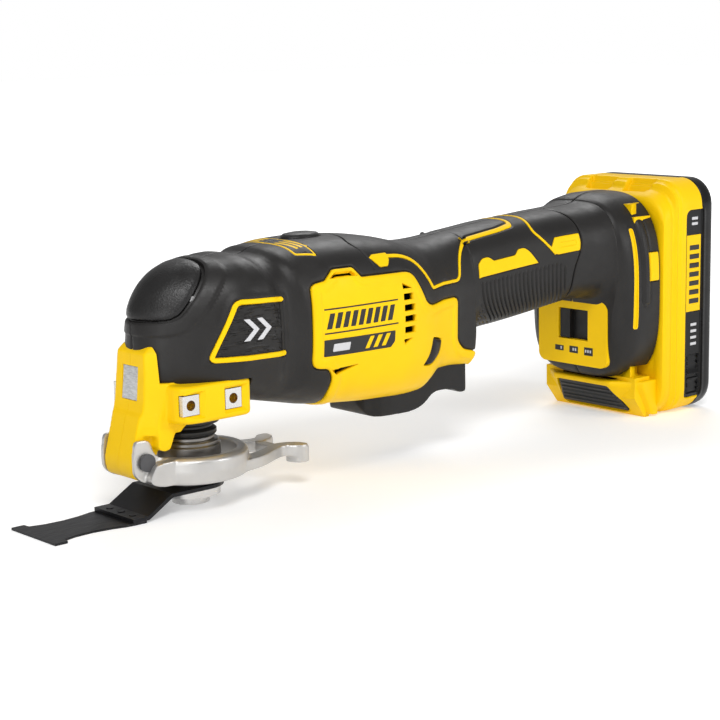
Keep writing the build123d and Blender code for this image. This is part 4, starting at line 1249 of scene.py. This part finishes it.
# ---- scene ----
def surround():
    """White where the camera sees it, and a weaker even light on everything else."""
    bpy.context.scene.view_settings.view_transform = "Standard"
    world = bpy.data.worlds.new("studio")
    bpy.context.scene.world = world
    world.use_nodes = True
    nodes, links = world.node_tree.nodes, world.node_tree.links
    fill = nodes["Background"]
    fill.inputs["Strength"].default_value = 0.36
    fill.inputs["Color"].default_value = (1, 1, 1, 1)
    paper = nodes.new("ShaderNodeBackground")
    paper.inputs["Color"].default_value = (1, 1, 1, 1)
    seen = nodes.new("ShaderNodeMixShader")
    links.new(nodes.new("ShaderNodeLightPath").outputs["Is Camera Ray"], seen.inputs["Fac"])
    links.new(fill.outputs["Background"], seen.inputs[1])
    links.new(paper.outputs["Background"], seen.inputs[2])
    links.new(seen.outputs["Shader"], nodes["World Output"].inputs["Surface"])


def paper_floor():
    """A pale floor that glows more with distance, so that it runs out into white."""
    size = 6.0
    mesh = bpy.data.meshes.new("floor")
    corners = [(-size, -size, 0), (size, -size, 0), (size, size, 0), (-size, size, 0)]
    mesh.from_pydata(corners, [], [(0, 1, 2, 3)])
    floor = bpy.data.objects.new("floor", mesh)
    bpy.context.scene.collection.objects.link(floor)
    material, tree, shader, place = node_material("paper", 0.8, gloss=0.1)
    shader.inputs["Emission Color"].default_value = (1, 1, 1, 1)
    away = tree.nodes.new("ShaderNodeVectorMath")
    away.operation = "LENGTH"
    tree.links.new(place, away.inputs[0])
    glow = tree.nodes.new("ShaderNodeMapRange")
    for socket, value in (("From Min", 0.3), ("From Max", 1.3), ("To Min", 0.3), ("To Max", 1.0)):
        glow.inputs[socket].default_value = value
    tree.links.new(away.outputs["Value"], glow.inputs["Value"])
    tree.links.new(glow.outputs["Result"], shader.inputs["Emission Strength"])
    clouds = noise(tree, place, 300.0, 2.0)
    tree.links.new(ramp(tree, clouds, (0.84, 0.84, 0.84), (0.86, 0.86, 0.86)), shader.inputs["Base Color"])
    mesh.materials.append(material)


def lights():
    """Four soft lights, all turned to the middle of the tool."""
    for name, at, width, power in (
        ("key", (-0.55, -0.75, 1.05), 0.4, 8.6),
        ("front", (-1.05, -0.75, 0.3), 0.4, 2.6),
        ("rear", (0.7, 0.6, 1.0), 0.6, 5.5),
        ("side", (0.55, -1.1, 0.45), 0.4, 3.6),
    ):
        light = bpy.data.lights.new(name, "AREA")
        light.energy = power
        light.size = width
        lamp = bpy.data.objects.new(name, light)
        lamp.location = at
        lamp.rotation_euler = (Vector((0, 0, 0.06)) - Vector(at)).to_track_quat("-Z", "Y").to_euler()
        bpy.context.scene.collection.objects.link(lamp)


EYE = (-0.4242515, -0.5865690, 0.1902979)  # the camera, in metres from the spindle's foot


def camera():
    """A camera that looks forward and to the right from in front of the tool's left side."""
    heading, drop, roll = radians(41.4746), radians(10.3933), radians(-1.0466)
    ahead = Vector((cos(drop) * sin(heading), cos(drop) * cos(heading), -sin(drop)))
    level = Vector((cos(heading), -sin(heading), 0))
    up = level.cross(ahead)
    right = level * cos(roll) + up * sin(roll)
    top = up * cos(roll) - level * sin(roll)
    eye = bpy.data.cameras.new("camera")
    eye.lens = 90.23
    eye.sensor_width = 36.0
    eye.clip_start = 0.01
    view = bpy.data.objects.new("camera", eye)
    matrix = Matrix((right, top, -ahead)).transposed().to_4x4()
    matrix.translation = Vector((SPINDLE_X + EYE[0], EYE[1], EYE[2]))
    view.matrix_world = matrix
    bpy.context.scene.collection.objects.link(view)
    bpy.context.scene.camera = view


camera()
surround()
paper_floor()
lights()
cad_pieces()
build_body()
build_pack()
nose_guard()
lever()
clamp_parts()
trigger_paddle()
foot_rails()
speed_marks()
